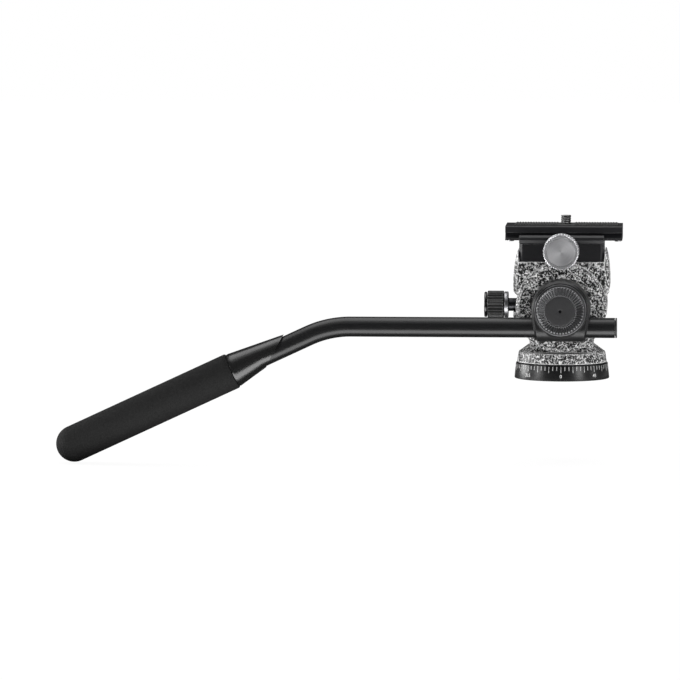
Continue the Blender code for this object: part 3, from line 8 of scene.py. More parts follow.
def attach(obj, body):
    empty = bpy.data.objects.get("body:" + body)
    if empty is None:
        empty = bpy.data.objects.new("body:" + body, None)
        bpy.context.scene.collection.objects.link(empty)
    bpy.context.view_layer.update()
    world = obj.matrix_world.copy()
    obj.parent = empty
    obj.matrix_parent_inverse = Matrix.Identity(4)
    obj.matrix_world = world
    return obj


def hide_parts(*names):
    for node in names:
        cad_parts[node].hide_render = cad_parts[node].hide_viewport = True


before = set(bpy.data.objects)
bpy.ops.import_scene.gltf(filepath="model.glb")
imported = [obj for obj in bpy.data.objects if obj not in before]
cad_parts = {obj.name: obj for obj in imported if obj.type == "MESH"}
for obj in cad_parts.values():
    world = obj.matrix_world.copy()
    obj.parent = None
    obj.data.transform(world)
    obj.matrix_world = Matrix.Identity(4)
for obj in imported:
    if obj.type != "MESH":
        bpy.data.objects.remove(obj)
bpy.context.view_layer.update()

# Base ring: a shallow aluminium cup turned from bar, black anodised, with a degree scale on its
# outside. Three screws hold it to the spindle's flange from below.


class Wire:
    """An output socket of a shader or geometry tree. Arithmetic on it adds Math nodes."""

    def __init__(self, socket):
        self.socket = socket

    @classmethod
    def node(cls, tree, kind, settings=None, sockets=None, output=0):
        """Any node: its settings are set first, then the values or links of its sockets."""
        made = tree.nodes.new(kind)
        for name, value in (settings or {}).items():
            setattr(made, name, value)
        for name, value in (sockets or {}).items():
            if isinstance(value, cls):
                tree.links.new(value.socket, made.inputs[name])
            else:
                made.inputs[name].default_value = value
        return cls(made.outputs[output])

    @classmethod
    def maths(cls, operation, *values, clamp=False):
        tree = next(value.socket.id_data for value in values if isinstance(value, cls))
        settings = {"operation": operation, "use_clamp": clamp}
        return cls.node(tree, "ShaderNodeMath", settings, dict(enumerate(values)))

    def __add__(self, other):
        return self.maths("ADD", self, other)

    def __sub__(self, other):
        return self.maths("SUBTRACT", self, other)

    def __rsub__(self, other):
        return self.maths("SUBTRACT", other, self)

    def __mul__(self, other):
        return self.maths("MULTIPLY", self, other)

    def __truediv__(self, other):
        return self.maths("DIVIDE", self, other)

    def __pow__(self, other):
        return self.maths("POWER", self, other)

    def __abs__(self):
        return self.maths("ABSOLUTE", self, 0.0)

    __radd__ = __add__
    __rmul__ = __mul__

    def clamped(self):
        return self.maths("ADD", self, 0.0, clamp=True)


class Finish:
    """A material. Sockets that are the same all over are set at once, and the rest are linked."""

    def __init__(self, name, **fixed):
        self.material = bpy.data.materials.new(name)
        self.material.use_nodes = True
        self.tree = self.material.node_tree
        self.shader = self.tree.nodes["Principled BSDF"]
        for socket, value in fixed.items():
            self.shader.inputs[socket.replace("_", " ")].default_value = value
        self.place = self.node("ShaderNodeTexCoord", output="Object")

    def node(self, kind, settings=None, sockets=None, output=0):
        return Wire.node(self.tree, kind, settings, sockets, output)

    def mapped(self, scale=(1, 1, 1), centre=(0, 0, 0)):
        """Object coordinates, centred on a point and then stretched."""
        moved = self.node("ShaderNodeMapping", {}, {"Vector": self.place,
                                                    "Location": [-x for x in centre]})
        return self.node("ShaderNodeMapping", {}, {"Vector": moved, "Scale": scale})

    def noise(self, scale, detail=2.0, distortion=0.0, place=None):
        sockets = {"Vector": place or self.place, "Scale": scale, "Detail": detail,
                   "Distortion": distortion}
        return self.node("ShaderNodeTexNoise", {}, sockets)

    def mix(self, share, first, second):
        """A colour between two colours, each given as a wire or as red, green and blue."""
        colours = [value if isinstance(value, Wire) else (*value, 1) for value in (first, second)]
        settings = {"data_type": "RGBA", "clamp_factor": True}
        return self.node("ShaderNodeMix", settings, {0: share, 6: colours[0], 7: colours[1]}, output=2)

    def edges(self, width):
        """1 on an edge of the piece and 0 on its faces."""
        eased = self.node("ShaderNodeBevel", {"samples": 4}, {"Radius": width})
        flat = self.node("ShaderNodeNewGeometry", output="Normal")
        settings = {"operation": "DOT_PRODUCT"}
        match = self.node("ShaderNodeVectorMath", settings, {0: eased, 1: flat}, output="Value")
        return ((1 - match) * 6).clamped()

    def bump(self, height, distance, strength=1.0):
        sockets = {"Height": height, "Distance": distance, "Strength": strength}
        return self.node("ShaderNodeBump", {}, sockets)

    def link(self, **wires):
        for socket, wire in wires.items():
            self.tree.links.new(wire.socket, self.shader.inputs[socket.replace("_", " ")])
        return self.material


def rounded(profile, width, steps=3):
    """The profile with each corner off the axis drawn as a small arc."""
    points = []
    for here, corner in enumerate(profile):
        before, at = Vector(profile[here - 1]), Vector(corner)
        after = Vector(profile[(here + 1) % len(profile)])
        if at.x < 1e-6:
            points.append(tuple(at))
            continue
        reach = min(width, (before - at).length * 0.45, (after - at).length * 0.45)
        start, end = at + (before - at).normalized() * reach, at + (after - at).normalized() * reach
        for step in range(steps + 1):
            share = step / steps
            first, second = start.lerp(at, share), at.lerp(end, share)
            points.append(tuple(first.lerp(second, share)))
    return points


def divided(profile, longest):
    """The profile with its long runs cut into short ones."""
    points = []
    for corner, following in zip(profile, profile[1:] + profile[:1]):
        on_axis = corner[0] < 1e-6 and following[0] < 1e-6
        count = 1 if on_axis else max(1, math.ceil(math.dist(corner, following) / longest))
        points += [tuple(Vector(corner).lerp(Vector(following), step / count)) for step in range(count)]
    return points


def lathed(profile, steps=96):
    """A turned shape about +Z, from a loop of radius and height."""
    shape = bmesh.new()
    rings = []
    for radius, height in profile:
        turns = [2 * math.pi * step / steps for step in range(1 if radius < 1e-6 else steps)]
        rings.append([shape.verts.new((radius * math.cos(turn), radius * math.sin(turn), height))
                      for turn in turns])
    for ring, following in zip(rings, rings[1:] + rings[:1]):
        for step in range(steps if len(ring) + len(following) > 2 else 0):
            after = (step + 1) % steps
            corners = [ring[step % len(ring)], ring[after % len(ring)],
                       following[after % len(following)], following[step % len(following)]]
            shape.faces.new(list(dict.fromkeys(corners)))
    return shape


def smooth(mesh, angle=35):
    mesh.shade_smooth()
    mesh.set_sharp_from_angle(angle=math.radians(angle))


def placed(name, shape, matrix=Matrix(), finish=None, angle=35):
    """An object at the origin, whose place is in its mesh."""
    bmesh.ops.remove_doubles(shape, verts=shape.verts, dist=1e-7)
    bmesh.ops.recalc_face_normals(shape, faces=shape.faces)
    mesh = bpy.data.meshes.new(name)
    shape.to_mesh(mesh)
    shape.free()
    mesh.transform(matrix)
    smooth(mesh, angle)
    made = bpy.data.objects.new(name, mesh)
    bpy.context.scene.collection.objects.link(made)
    if finish is not None:
        mesh.materials.append(finish)
    return made


def towards(direction, place=(0, 0, 0)):
    """The matrix that lays a turned shape's +Z along a direction, from a place."""
    quarter = math.pi / 2
    turns = {"up": (0, 0, 0), "down": (math.pi, 0, 0), "handle": (quarter, 0, 0),
             "far": (-quarter, 0, 0), "front": (0, quarter, 0), "back": (0, -quarter, 0)}
    return Matrix.LocRotScale(place, Euler(turns[direction]), None)


def plain_mesh(made):
    """Turns an object's modifiers into its plain mesh."""
    graph = bpy.context.evaluated_depsgraph_get()
    mesh = bpy.data.meshes.new_from_object(made.evaluated_get(graph), depsgraph=graph)
    made.modifiers.clear()
    made.data = mesh
    return made


def cut(made, *cutters, angle=35):
    """Cuts shapes out of a piece, and leaves a plain mesh."""
    for cutter in cutters:
        change = made.modifiers.new("cut", "BOOLEAN")
        change.operation, change.solver, change.object = "DIFFERENCE", "EXACT", cutter
    plain_mesh(made)
    for cutter in cutters:
        bpy.data.objects.remove(cutter)
    smooth(made.data, angle)
    return made


def key_hole(radius, sides, low, high, place, direction, turn=0.0):
    """A straight-sided cutter: a hexagon for a key, or a round hole."""
    matrix = towards(direction, place) @ Matrix.Rotation(turn, 4, "Z")
    return placed("cutter", lathed([(0, low), (radius, low), (radius, high), (0, high)], sides), matrix)


def shown(made, body, nodes):
    """Hangs a finished piece on its body, in place of the CAD's nodes."""
    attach(made, body)
    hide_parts(*nodes)
    return made


def turned_black(name, colour, roughness, lines, **fixed):
    """Anodising over a turned or milled face: fine tool lines, and edges painted paler, partly as worn
    anodising and partly as a painted highlight on the bevels.
    """
    made = Finish(name, IOR=1.36, **fixed)
    line = made.noise(1.0, 2.0, place=made.mapped(scale=lines))
    cloud, grain = made.noise(90.0, 3.0), made.noise(2600.0, 1.0)
    # Edges mixed towards pale grey (0.2): partly worn anodising, partly a painted highlight on the
    # bevels.
    worn = (made.edges(0.0003) * (cloud * 2.6 - 0.7).clamped()).clamped()
    base = made.mix(line * 0.7 + cloud * 0.3, [x * 0.72 for x in colour], [x * 1.3 for x in colour])
    return made.link(Base_Color=made.mix(worn, base, (0.2, 0.2, 0.205)),
                     Roughness=roughness + (grain - 0.5) * 0.12 + (line - 0.5) * 0.16,
                     Normal=made.bump(line * 0.6 + grain * 0.4, 0.00002))


ring_black = turned_black("base_ring_black", (0.006, 0.006, 0.0063), 0.3, (60, 60, 5200))
ring_bore, ring_inside, ring_floor = 0.0069, 0.0224, 0.0052
ring_foot, ring_top, ring_height = 0.0286, 0.0276, 0.0096
ring_profile = [(ring_bore, 0), (ring_foot, 0), (ring_top, ring_height), (ring_inside, ring_height),
                (ring_inside, ring_floor), (ring_bore, ring_floor)]
base_ring = placed("base_ring_turned", lathed(rounded(ring_profile, 0.0007), 144), finish=ring_black)
screw_circle, screw_turns = 0.0145, [math.radians(turn) for turn in (80, 200, 320)]
screw_spots = [(screw_circle * math.cos(turn), screw_circle * math.sin(turn), 0) for turn in screw_turns]
cut(base_ring, *[key_hole(0.0031, 32, -0.002, 0.0027, spot, "up") for spot in screw_spots],
    *[key_hole(0.0018, 24, -0.002, 0.007, spot, "up") for spot in screw_spots])
shown(base_ring, "base", ["base_ring"])

# Degree scale: short and long strokes every 5 and 15 degrees, and a number every 45, cut into the
# base ring's outside and filled with pale paint.


def repeated(name, pattern, finish, count, step=(0, 0, 0), turn=(0, 0, 0)):
    """Copies of one small shape, each moved and turned further by the same amount."""
    tree = bpy.data.node_groups.new(name, "GeometryNodeTree")
    sockets = [("Pattern", "NodeSocketObject", pattern), ("Count", "NodeSocketInt", count),
               ("Step", "NodeSocketVector", step), ("Turn", "NodeSocketVector", turn),
               ("Finish", "NodeSocketMaterial", finish)]
    for label, kind, _ in sockets:
        tree.interface.new_socket(label, in_out="INPUT", socket_type=kind)
    tree.interface.new_socket("Geometry", in_out="OUTPUT", socket_type="NodeSocketGeometry")
    entry = tree.nodes.new("NodeGroupInput")
    given = {label: Wire(entry.outputs[label]) for label, _, _ in sockets}

    def node(kind, settings=None, links=None, output=0):
        return Wire.node(tree, kind, settings, links, output)

    def scaled(vector, number):
        return node("ShaderNodeVectorMath", {"operation": "SCALE"}, {0: vector, "Scale": number})

    number = node("GeometryNodeInputIndex")
    moved, turned = scaled(given["Step"], number), scaled(given["Turn"], number)
    points = node("GeometryNodePoints", {}, {"Count": given["Count"]})
    points = node("GeometryNodeSetPosition", {}, {"Geometry": points, "Position": moved})
    shape = node("GeometryNodeObjectInfo", {}, {"Object": given["Pattern"]}, output="Geometry")
    copies = node("GeometryNodeInstanceOnPoints", {},
                  {"Points": points, "Instance": shape, "Rotation": turned})
    real = node("GeometryNodeRealizeInstances", {}, {"Geometry": copies})
    painted = node("GeometryNodeSetMaterial", {}, {"Geometry": real, "Material": given["Finish"]})
    end = tree.nodes.new("NodeGroupOutput")
    tree.links.new(painted.socket, end.inputs["Geometry"])
    made = bpy.data.objects.new(name, bpy.data.meshes.new(name))
    bpy.context.scene.collection.objects.link(made)
    change = made.modifiers.new(name, "NODES")
    change.node_group = tree
    places = {item.name: item.identifier for item in tree.interface.items_tree if item.in_out == "INPUT"}
    for label, _, value in sockets:
        change[places[label]] = value
    plain_mesh(made)
    bpy.data.objects.remove(pattern)
    smooth(made.data)
    return made


def bar(low, high, edge=0.0):
    """A straight block between two corners, with its edges broken where edge is given."""
    shape = bmesh.new()
    bmesh.ops.create_cube(shape, size=1)
    size, middle = Vector(high) - Vector(low), (Vector(high) + Vector(low)) / 2
    for corner in shape.verts:
        corner.co = Vector(x * s for x, s in zip(corner.co, size)) + middle
    if edge:
        bmesh.ops.bevel(shape, geom=shape.edges[:], offset=edge, segments=2, affect="EDGES",
                        profile=0.6)
    return shape


def joined(name, *parts):
    """Pieces of one finish and one body, made a single mesh."""
    shape = bmesh.new()
    for part in parts:
        shape.from_mesh(part.data)
    finish = parts[0].data.materials[0]
    for part in parts:
        bpy.data.objects.remove(part)
    mesh = bpy.data.meshes.new(name)
    shape.to_mesh(mesh)
    shape.free()
    smooth(mesh)
    mesh.materials.append(finish)
    made = bpy.data.objects.new(name, mesh)
    bpy.context.scene.collection.objects.link(made)
    return made


scale_paint = Finish("scale_paint", Roughness=0.55)
scale_cloud = scale_paint.noise(1500.0, 3.0)
dim_paint, pale_paint = (0.025, 0.025, 0.025), (0.06, 0.06, 0.059)
scale_white = scale_paint.link(Base_Color=scale_paint.mix(scale_cloud, dim_paint, pale_paint))
ring_slope = (ring_foot - ring_top) / ring_height
number_size, number_foot = 0.0028, 0.0021
short_foot, long_foot, stroke_top = 0.0064, 0.0052, 0.0088


def on_ring(height):
    """The base ring's outer radius at a height."""
    return ring_foot - ring_slope * height


def stroke(low, high, half_width):
    """One stroke of the scale on the front of the base ring."""
    shape = bar((-half_width, -0.0001, low), (half_width, 0.0001, high))
    for corner in shape.verts:
        corner.co.y -= on_ring(corner.co.z) - 0.00007
    return placed("stroke", shape)


def number_on_ring(text, turn):
    """A number of the scale, wrapped round the base ring."""
    letters = bpy.data.curves.new("number", "FONT")
    letters.body, letters.size, letters.align_x = text, number_size, "CENTER"
    letters.extrude = 0.00004
    flat = bpy.data.objects.new("number", letters)
    bpy.context.scene.collection.objects.link(flat)
    graph = bpy.context.evaluated_depsgraph_get()
    mesh = bpy.data.meshes.new_from_object(flat.evaluated_get(graph), depsgraph=graph)
    bpy.data.objects.remove(flat)
    shape = bmesh.new()
    shape.from_mesh(mesh)
    bmesh.ops.triangulate(shape, faces=shape.faces)
    for corner in shape.verts:
        height = corner.co.y + number_foot
        radius = on_ring(height) - 0.00001 + corner.co.z
        angle = corner.co.x / on_ring(height) + turn
        corner.co = (radius * math.sin(angle), -radius * math.cos(angle), height)
    return placed("number", shape, finish=scale_white)


short_strokes = repeated("short_strokes", stroke(short_foot, stroke_top, 0.00012), scale_white, 72,
                         turn=(0, 0, math.radians(5)))
long_strokes = repeated("long_strokes", stroke(long_foot, stroke_top, 0.00014), scale_white, 24,
                        turn=(0, 0, math.radians(15)))
numbers = [number_on_ring(str(turn), math.radians(turn)) for turn in range(0, 360, 45)]
scale = joined("degree_scale", short_strokes, long_strokes, *numbers)
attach(scale, "base")

# Threaded insert: a steel bush pressed up into the spindle, cut inside with the tripod's thread.


def ridged(made, count, depth, low, high, inside, fade=0.0006, lead=0.0, power=1.0):
    """Cuts ribs, teeth or a thread into a turned shape that stands about its own +Z."""
    tree = bpy.data.node_groups.new("ridges", "GeometryNodeTree")
    sockets = [("Count", count), ("Depth", depth), ("Low", low), ("High", high), ("Inside", inside),
               ("Fade", fade), ("Lead", lead), ("Power", power)]
    tree.interface.new_socket("Geometry", in_out="INPUT", socket_type="NodeSocketGeometry")
    for label, _ in sockets:
        tree.interface.new_socket(label, in_out="INPUT", socket_type="NodeSocketFloat")
    tree.interface.new_socket("Finish", in_out="INPUT", socket_type="NodeSocketMaterial")
    tree.interface.new_socket("Geometry", in_out="OUTPUT", socket_type="NodeSocketGeometry")
    entry = tree.nodes.new("NodeGroupInput")
    given = {label: Wire(entry.outputs[label]) for label, _ in sockets}

    def node(kind, settings=None, links=None, output=0):
        return Wire.node(tree, kind, settings, links, output)

    place = node("GeometryNodeInputPosition")
    x, y, z = (node("ShaderNodeSeparateXYZ", {}, {0: place}, axis) for axis in (0, 1, 2))
    round_share = Wire.maths("ARCTAN2", y, x) / (2 * math.pi)
    phase = Wire.maths("FRACT", round_share * given["Count"] + z * given["Lead"] + 64.0)
    groove = abs(phase * 2 - 1) ** given["Power"]
    radius = Wire.maths("SQRT", x * x + y * y)
    start = ((z - given["Low"]) / given["Fade"]).clamped()
    along = start * ((given["High"] - z) / given["Fade"]).clamped()
    side = Wire.maths("SIGN", radius - abs(given["Inside"]))
    outer = (side * Wire.maths("SIGN", given["Inside"])).clamped()
    push = groove * along * outer * given["Depth"] / radius
    offset = node("ShaderNodeCombineXYZ", {}, {0: x * push * -1, 1: y * push * -1, 2: 0.0})
    entered = Wire(entry.outputs["Geometry"])
    moved = node("GeometryNodeSetPosition", {}, {"Geometry": entered, "Offset": offset})
    real = node("GeometryNodeRealizeInstances", {}, {"Geometry": moved})
    finish = Wire(entry.outputs["Finish"])
    painted = node("GeometryNodeSetMaterial", {}, {"Geometry": real, "Material": finish})
    end = tree.nodes.new("NodeGroupOutput")
    tree.links.new(painted.socket, end.inputs["Geometry"])
    change = made.modifiers.new("ridges", "NODES")
    change.node_group = tree
    places = {item.name: item.identifier for item in tree.interface.items_tree
              if item.in_out == "INPUT"}
    for label, value in sockets:
        change[places[label]] = float(value)
    change[places["Finish"]] = made.data.materials[0]
    return plain_mesh(made)


def laid(made, matrix, angle=35):
    """Lays a finished shape in its place on the head."""
    made.data.transform(matrix)
    smooth(made.data, angle)
    return made


def worn_metal(name, colour, roughness, scratches=(300, 300, 300)):
    """Bare metal: faint scratches, soft clouds and brighter edges."""
    made = Finish(name, Metallic=1.0)
    scratch = made.noise(1.0, 3.0, place=made.mapped(scale=scratches))
    cloud, grain = made.noise(160.0, 3.0), made.noise(3200.0, 1.0)
    base = made.mix(cloud, [x * 0.8 for x in colour], [min(1.0, x * 1.12) for x in colour])
    rubbed = [min(1.0, x * 1.3) for x in colour]
    return made.link(Base_Color=made.mix(made.edges(0.00025) * 0.6, base, rubbed),
                     Roughness=roughness + (scratch - 0.5) * 0.25 + (grain - 0.5) * 0.08,
                     Normal=made.bump(scratch * 0.5 + grain * 0.3, 0.00002))


steel = worn_metal("bright_steel", (0.5, 0.5, 0.51), 0.3)
insert_profile = divided(rounded([(0.0047, 0.0003), (0.0066, 0.0003), (0.0066, 0.0112),
                                  (0.0047, 0.0112)], 0.0003), 0.00022)
insert = placed("thread_insert_cut", lathed(insert_profile, 72), finish=steel)
tripod_pitch, tripod_thread_depth = 0.0015875, 0.00055
ridged(insert, 1, tripod_thread_depth, 0.0006, 0.0109, -0.0056, lead=1 / tripod_pitch)
smooth(insert.data)
shown(insert, "base", ["thread_insert"])

# Base screws: three steel socket screws, sunk into the base ring's underside. They draw the ring
# up against the spindle's flange.
screw_profile = rounded([(0, 0.0004), (0.0028, 0.0004), (0.0028, 0.0024), (0.0015, 0.0024),
                         (0.0015, 0.0074), (0, 0.0074)], 0.0002)
for number, spot in enumerate(screw_spots, 1):
    screw = placed(f"base_screw_{number}_socket", lathed(screw_profile, 40), Matrix.Translation(spot),
                   steel)
    cut(screw, key_hole(0.0015, 6, 0.0, 0.0017, spot, "up"))
    shown(screw, "base", [f"base_screw_{number}"])

# Pan bearing inside the housing: steel spindle, washer and nut, a bronze bush and a slippery
# polymer washer, as they come from the lathe.
bronze = worn_metal("bearing_bronze", (0.5, 0.3, 0.12), 0.38)
polymer = Finish("washer_polymer", Roughness=0.5)
polymer_cloud = polymer.noise(400.0, 3.0)
pale_polymer = polymer.link(Base_Color=polymer.mix(polymer_cloud, (0.5, 0.48, 0.42), (0.66, 0.64, 0.57)),
                            Normal=polymer.bump(polymer_cloud, 0.00004))


def refinished(finish, *nodes):
    """A better finish on CAD nodes that stay."""
    for node in nodes:
        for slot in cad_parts[node].material_slots:
            slot.material = finish


refinished(steel, "pan_spindle", "pan_nut", "thrust_washer")
refinished(bronze, "pan_bush", "pan_brake_shoe")
refinished(pale_polymer, "pan_washer")

# Pan housing: the round cover and the upright, die cast in one and sprayed with a black coat that
# dries into pale grey flecks. The bores and the faces beside the cradle are machined afterwards.


def fleck_coat():
    """Black spray coat with worm-like pale flecks. On its edges the coat and flecks are painted lighter,
    partly as rubbed wear and partly as a painted highlight along the eased edges.
    """
    made = Finish("speckled_coat", IOR=1.45)
    grain, tone = made.noise(1500.0, 1.0), made.noise(300.0, 2.0)
    first = (1 - abs(made.noise(450.0, 1.0, distortion=0.5) - 0.5) * 14).clamped()
    second = (1 - abs(made.noise(600.0, 1.0, distortion=0.7) - 0.55) * 17).clamped()
    island = ((made.noise(820.0, 1.0) - 0.44) * 9).clamped()
    fleck = (Wire.maths("MAXIMUM", first, second) * island * 2.2).clamped()
    # Edge mask: lightens coat and flecks on edges, partly as rubbed wear and partly as a painted
    # highlight on the bosses' eased edges.
    edge = made.edges(0.0012)
    light = made.mix(tone * 2.4 - 0.6 + edge * 0.6, (0.16, 0.16, 0.16), (0.86, 0.86, 0.86))
    base = made.mix((fleck + edge * (0.35 + grain)).clamped(), (0.003, 0.003, 0.0031), light)
    return made.link(Base_Color=base, Roughness=0.4 + (grain - 0.5) * 0.3,
                     Normal=made.bump(fleck * 0.8 + grain * 0.3, 0.00014))


def refined(name, node, width, finish, segments=2, angle=32):
    """A CAD node's shape with its edges eased, as paint and tumbling leave them."""
    shape = bmesh.new()
    shape.from_mesh(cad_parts[node].data)
    bmesh.ops.remove_doubles(shape, verts=shape.verts, dist=0.00002)
    bmesh.ops.dissolve_degenerate(shape, edges=shape.edges, dist=0.00001)
    bmesh.ops.dissolve_limit(shape, angle_limit=math.radians(0.8), verts=shape.verts, edges=shape.edges)
    made = placed(name, shape, finish=finish, angle=angle)
    easing = made.modifiers.new("eased edges", "BEVEL")
    easing.width, easing.segments = width, segments
    easing.limit_method, easing.angle_limit = "ANGLE", math.radians(angle)
    easing.use_clamp_overlap = True
    easing.miter_outer = "MITER_ARC"
    level = made.modifiers.new("flat faces", "WEIGHTED_NORMAL")
    level.keep_sharp = True
    return made


speckled = fleck_coat()
housing = refined("pan_housing_cast", "pan_housing", 0.0004, speckled)
shown(housing, "pan", ["pan_housing"])
dot_paint = Finish("index_paint", Roughness=0.5)
dot_white = dot_paint.link(Base_Color=dot_paint.mix(dot_paint.noise(2400.0, 2.0), (0.55, 0.55, 0.54),
                                                    (0.8, 0.8, 0.78)))
dot_profile = rounded([(0, -0.0004), (0.00062, -0.0004), (0.00062, 0.00006), (0, 0.00006)], 0.00006)
dot_place = (0, -0.027, 0.0112)
index_dot = placed("index_dot", lathed(dot_profile, 24), towards("handle", dot_place), dot_white)
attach(index_dot, "pan")

# Front plug: a turned steel screw plug with a hexagon socket. It closes the oil way of the fluid
# drag at the front of the upright.
plug_profile = rounded([(0, 0.0165), (0.0029, 0.0165), (0.0029, 0.024), (0.0048, 0.024), (0.0048, 0.025),
                        (0.003, 0.025), (0.003, 0.0269), (0, 0.0269)], 0.0003)
plug_place = (0, 0, 0.0412)
front_plug = placed("front_plug_socket", lathed(plug_profile, 64), towards("front", plug_place), steel)
cut(front_plug, key_hole(0.0017, 6, 0.0252, 0.029, plug_place, "front"))
shown(front_plug, "pan", ["front_plug"])

# Bearing cover, bushes and fixed drag sleeves: turned parts that sit in the upright's cross bore.
# The cover is anodised and the bushes are bronze.
satin_black = turned_black("anodised_black", (0.009, 0.009, 0.0095), 0.36, (1500, 1500, 1500))
refinished(satin_black, "bearing_cover", "drag_stator")
refinished(bronze, "tilt_bush_right", "tilt_bush_left", "tilt_brake_pad")

# Pan lock: a lobed black knob moulded on a steel stem. The stem screws into the cover and presses
# a bronze shoe on the spindle.


def moulded(name, dark, light, roughness, gloss=1.45):
    """Moulded plastic: fine spark-eroded grain and slightly polished edges."""
    made = Finish(name, IOR=gloss)
    grain, cloud = made.noise(2400.0, 2.0), made.noise(140.0, 3.0)
    worn = made.edges(0.0003)
    base = made.mix(cloud, dark, light)
    return made.link(Base_Color=made.mix(worn * 0.5, base, [min(1.0, x * 2.4 + 0.02) for x in light]),
                     Roughness=roughness + (grain - 0.5) * 0.2 - worn * 0.1,
                     Normal=made.bump(grain, 0.00005))


black_plastic = moulded("black_plastic", (0.014, 0.014, 0.014), (0.024, 0.024, 0.024), 0.46)
lock_place = (0, 0, 0.0132)
stem_profile = rounded([(0, 0.015), (0.0029, 0.015), (0.0029, 0.0378), (0, 0.0378)], 0.0003)
pan_stem = placed("pan_lock_stem_turned", lathed(stem_profile, 48), towards("far", lock_place), steel)
shown(pan_stem, "pan_lock", ["pan_lock_stem"])
knob_profile = divided(rounded([(0.0032, 0.0294), (0.0052, 0.0294), (0.0052, 0.0316), (0.0074, 0.0316),
                                (0.0074, 0.0414), (0, 0.0414), (0, 0.0381), (0.0032, 0.0381)], 0.0006),
                       0.0006)
pan_knob = placed("pan_lock_knob_lobed", lathed(knob_profile, 160), finish=black_plastic)
ridged(pan_knob, 8, 0.0009, 0.0314, 0.0418, 0.0056, fade=0.0004, power=1.8)
laid(pan_knob, towards("far", lock_place))
shown(pan_knob, "pan_lock", ["pan_lock_knob"])

# Tilt lock: a blackened steel stem with a plain aluminium washer, a ribbed black grip moulded on
# it, and a glossy cap pressed into the grip's end.
tilt_centre = (0, 0, 0.044)
tilt_lock_place = towards("back", tilt_centre)
gloss_black = moulded("gloss_black", (0.007, 0.007, 0.007), (0.012, 0.012, 0.012), 0.2, 1.5)
aluminium = worn_metal("bright_aluminium", (0.72, 0.72, 0.74), 0.38, (2200, 2200, 160))
stem_profile = rounded([(0, 0.0187), (0.0039, 0.0187), (0.0039, 0.041), (0, 0.041)], 0.0003)
black_steel = worn_metal("blackened_steel", (0.045, 0.045, 0.048), 0.34)
tilt_stem = placed("tilt_lock_stem_turned", lathed(stem_profile, 48), tilt_lock_place, black_steel)
shown(tilt_stem, "tilt_lock", ["tilt_lock_stem"])
grey_aluminium = worn_metal("grey_aluminium", (0.3, 0.3, 0.31), 0.36)
washer_profile = rounded([(0.0042, 0.0323), (0.0078, 0.0323), (0.0078, 0.0347), (0.0042, 0.0347)],
                         0.0004)
tilt_washer = placed("tilt_lock_washer_turned", lathed(washer_profile, 96), tilt_lock_place,
                     grey_aluminium)
shown(tilt_washer, "tilt_lock", ["tilt_lock_washer"])
grip_profile = divided(rounded([(0.0042, 0.035), (0.0083, 0.035), (0.0083, 0.0448), (0, 0.0448),
                                (0, 0.0413), (0.0042, 0.0413)], 0.0005), 0.0006)
lock_grip = placed("tilt_lock_grip_ribbed", lathed(grip_profile, 288), finish=black_plastic)
ridged(lock_grip, 24, 0.0008, 0.0352, 0.0446, 0.006, fade=0.0005, power=1.6)
laid(lock_grip, tilt_lock_place)
shown(lock_grip, "tilt_lock", ["tilt_lock_knob"])
cap_profile = rounded([(0, 0.0451), (0.0076, 0.0451), (0.0076, 0.0468), (0, 0.0468)], 0.0007, 5)
lock_cap = placed("tilt_lock_cap_domed", lathed(cap_profile, 96), tilt_lock_place, gloss_black)
shown(lock_cap, "tilt_lock", ["tilt_lock_cap"])

# Cradle: the tilting casting, two arms with round bosses and a lip in front and behind, with the
# same flecked coat.
cradle = refined("cradle_cast", "cradle", 0.0009, speckled, 3)
shown(cradle, "tilt", ["cradle"])

# Tilt axle and its nut, of steel, and the turning half of the fluid drag, of aluminium. They sit
# inside the casting and carry the cradle.
refinished(steel, "tilt_axle", "axle_nut")
refinished(aluminium, "drag_rotor")

# Collar washer: a pale polymer washer, cut from sheet, that lets the handle's collar turn beside
# the boss.
washer_profile = rounded([(0.005, 0.0273), (0.016, 0.0273), (0.016, 0.0283), (0.005, 0.0283)], 0.0002)
collar_washer = placed("collar_washer_cut", lathed(washer_profile, 96),
                       towards("handle", tilt_centre), pale_polymer)
shown(collar_washer, "tilt", ["collar_washer"])

# Side cap: black anodised, with a coin slot. It closes the boss where a second handle could go.
side_profile = rounded([(0, 0.0268), (0.0093, 0.0268), (0.0093, 0.0273), (0.0158, 0.0273),
                        (0.0158, 0.0297), (0.0146, 0.0309), (0, 0.0309)], 0.0004)
side_place = towards("far", tilt_centre)
side_cap = placed("side_cap_slotted", lathed(side_profile, 128), side_place, satin_black)
coin_slot = placed("cutter", bar((-0.007, -0.0008, 0.0298), (0.007, 0.0008, 0.033)), side_place)
cut(side_cap, coin_slot)
shown(side_cap, "tilt", ["side_cap"])

# Dovetail clamp, fixed half: one milled and anodised block with the back jaw. Four steel screws
# hold it to the cradle, and two pins with springs guide the moving jaw.
milled_black = turned_black("milled_black", (0.009, 0.009, 0.0105), 0.44, (500, 3200, 3200))
clamp_base = refined("clamp_base_milled", "clamp_base", 0.00025, milled_black)
shown(clamp_base, "tilt", ["clamp_base"])
refinished(steel, "clamp_screw_1", "clamp_screw_2", "clamp_screw_3", "clamp_screw_4", "jaw_guide_pin_1",
           "jaw_guide_pin_2", "jaw_spring_1", "jaw_spring_2")

# Moving jaw: a milled and anodised lip over the dovetail, with a tongue that the clamp knob draws
# in along the two pins.
jaw = refined("clamp_jaw_milled", "clamp_jaw", 0.00025, milled_black)
shown(jaw, "jaw", ["clamp_jaw"])

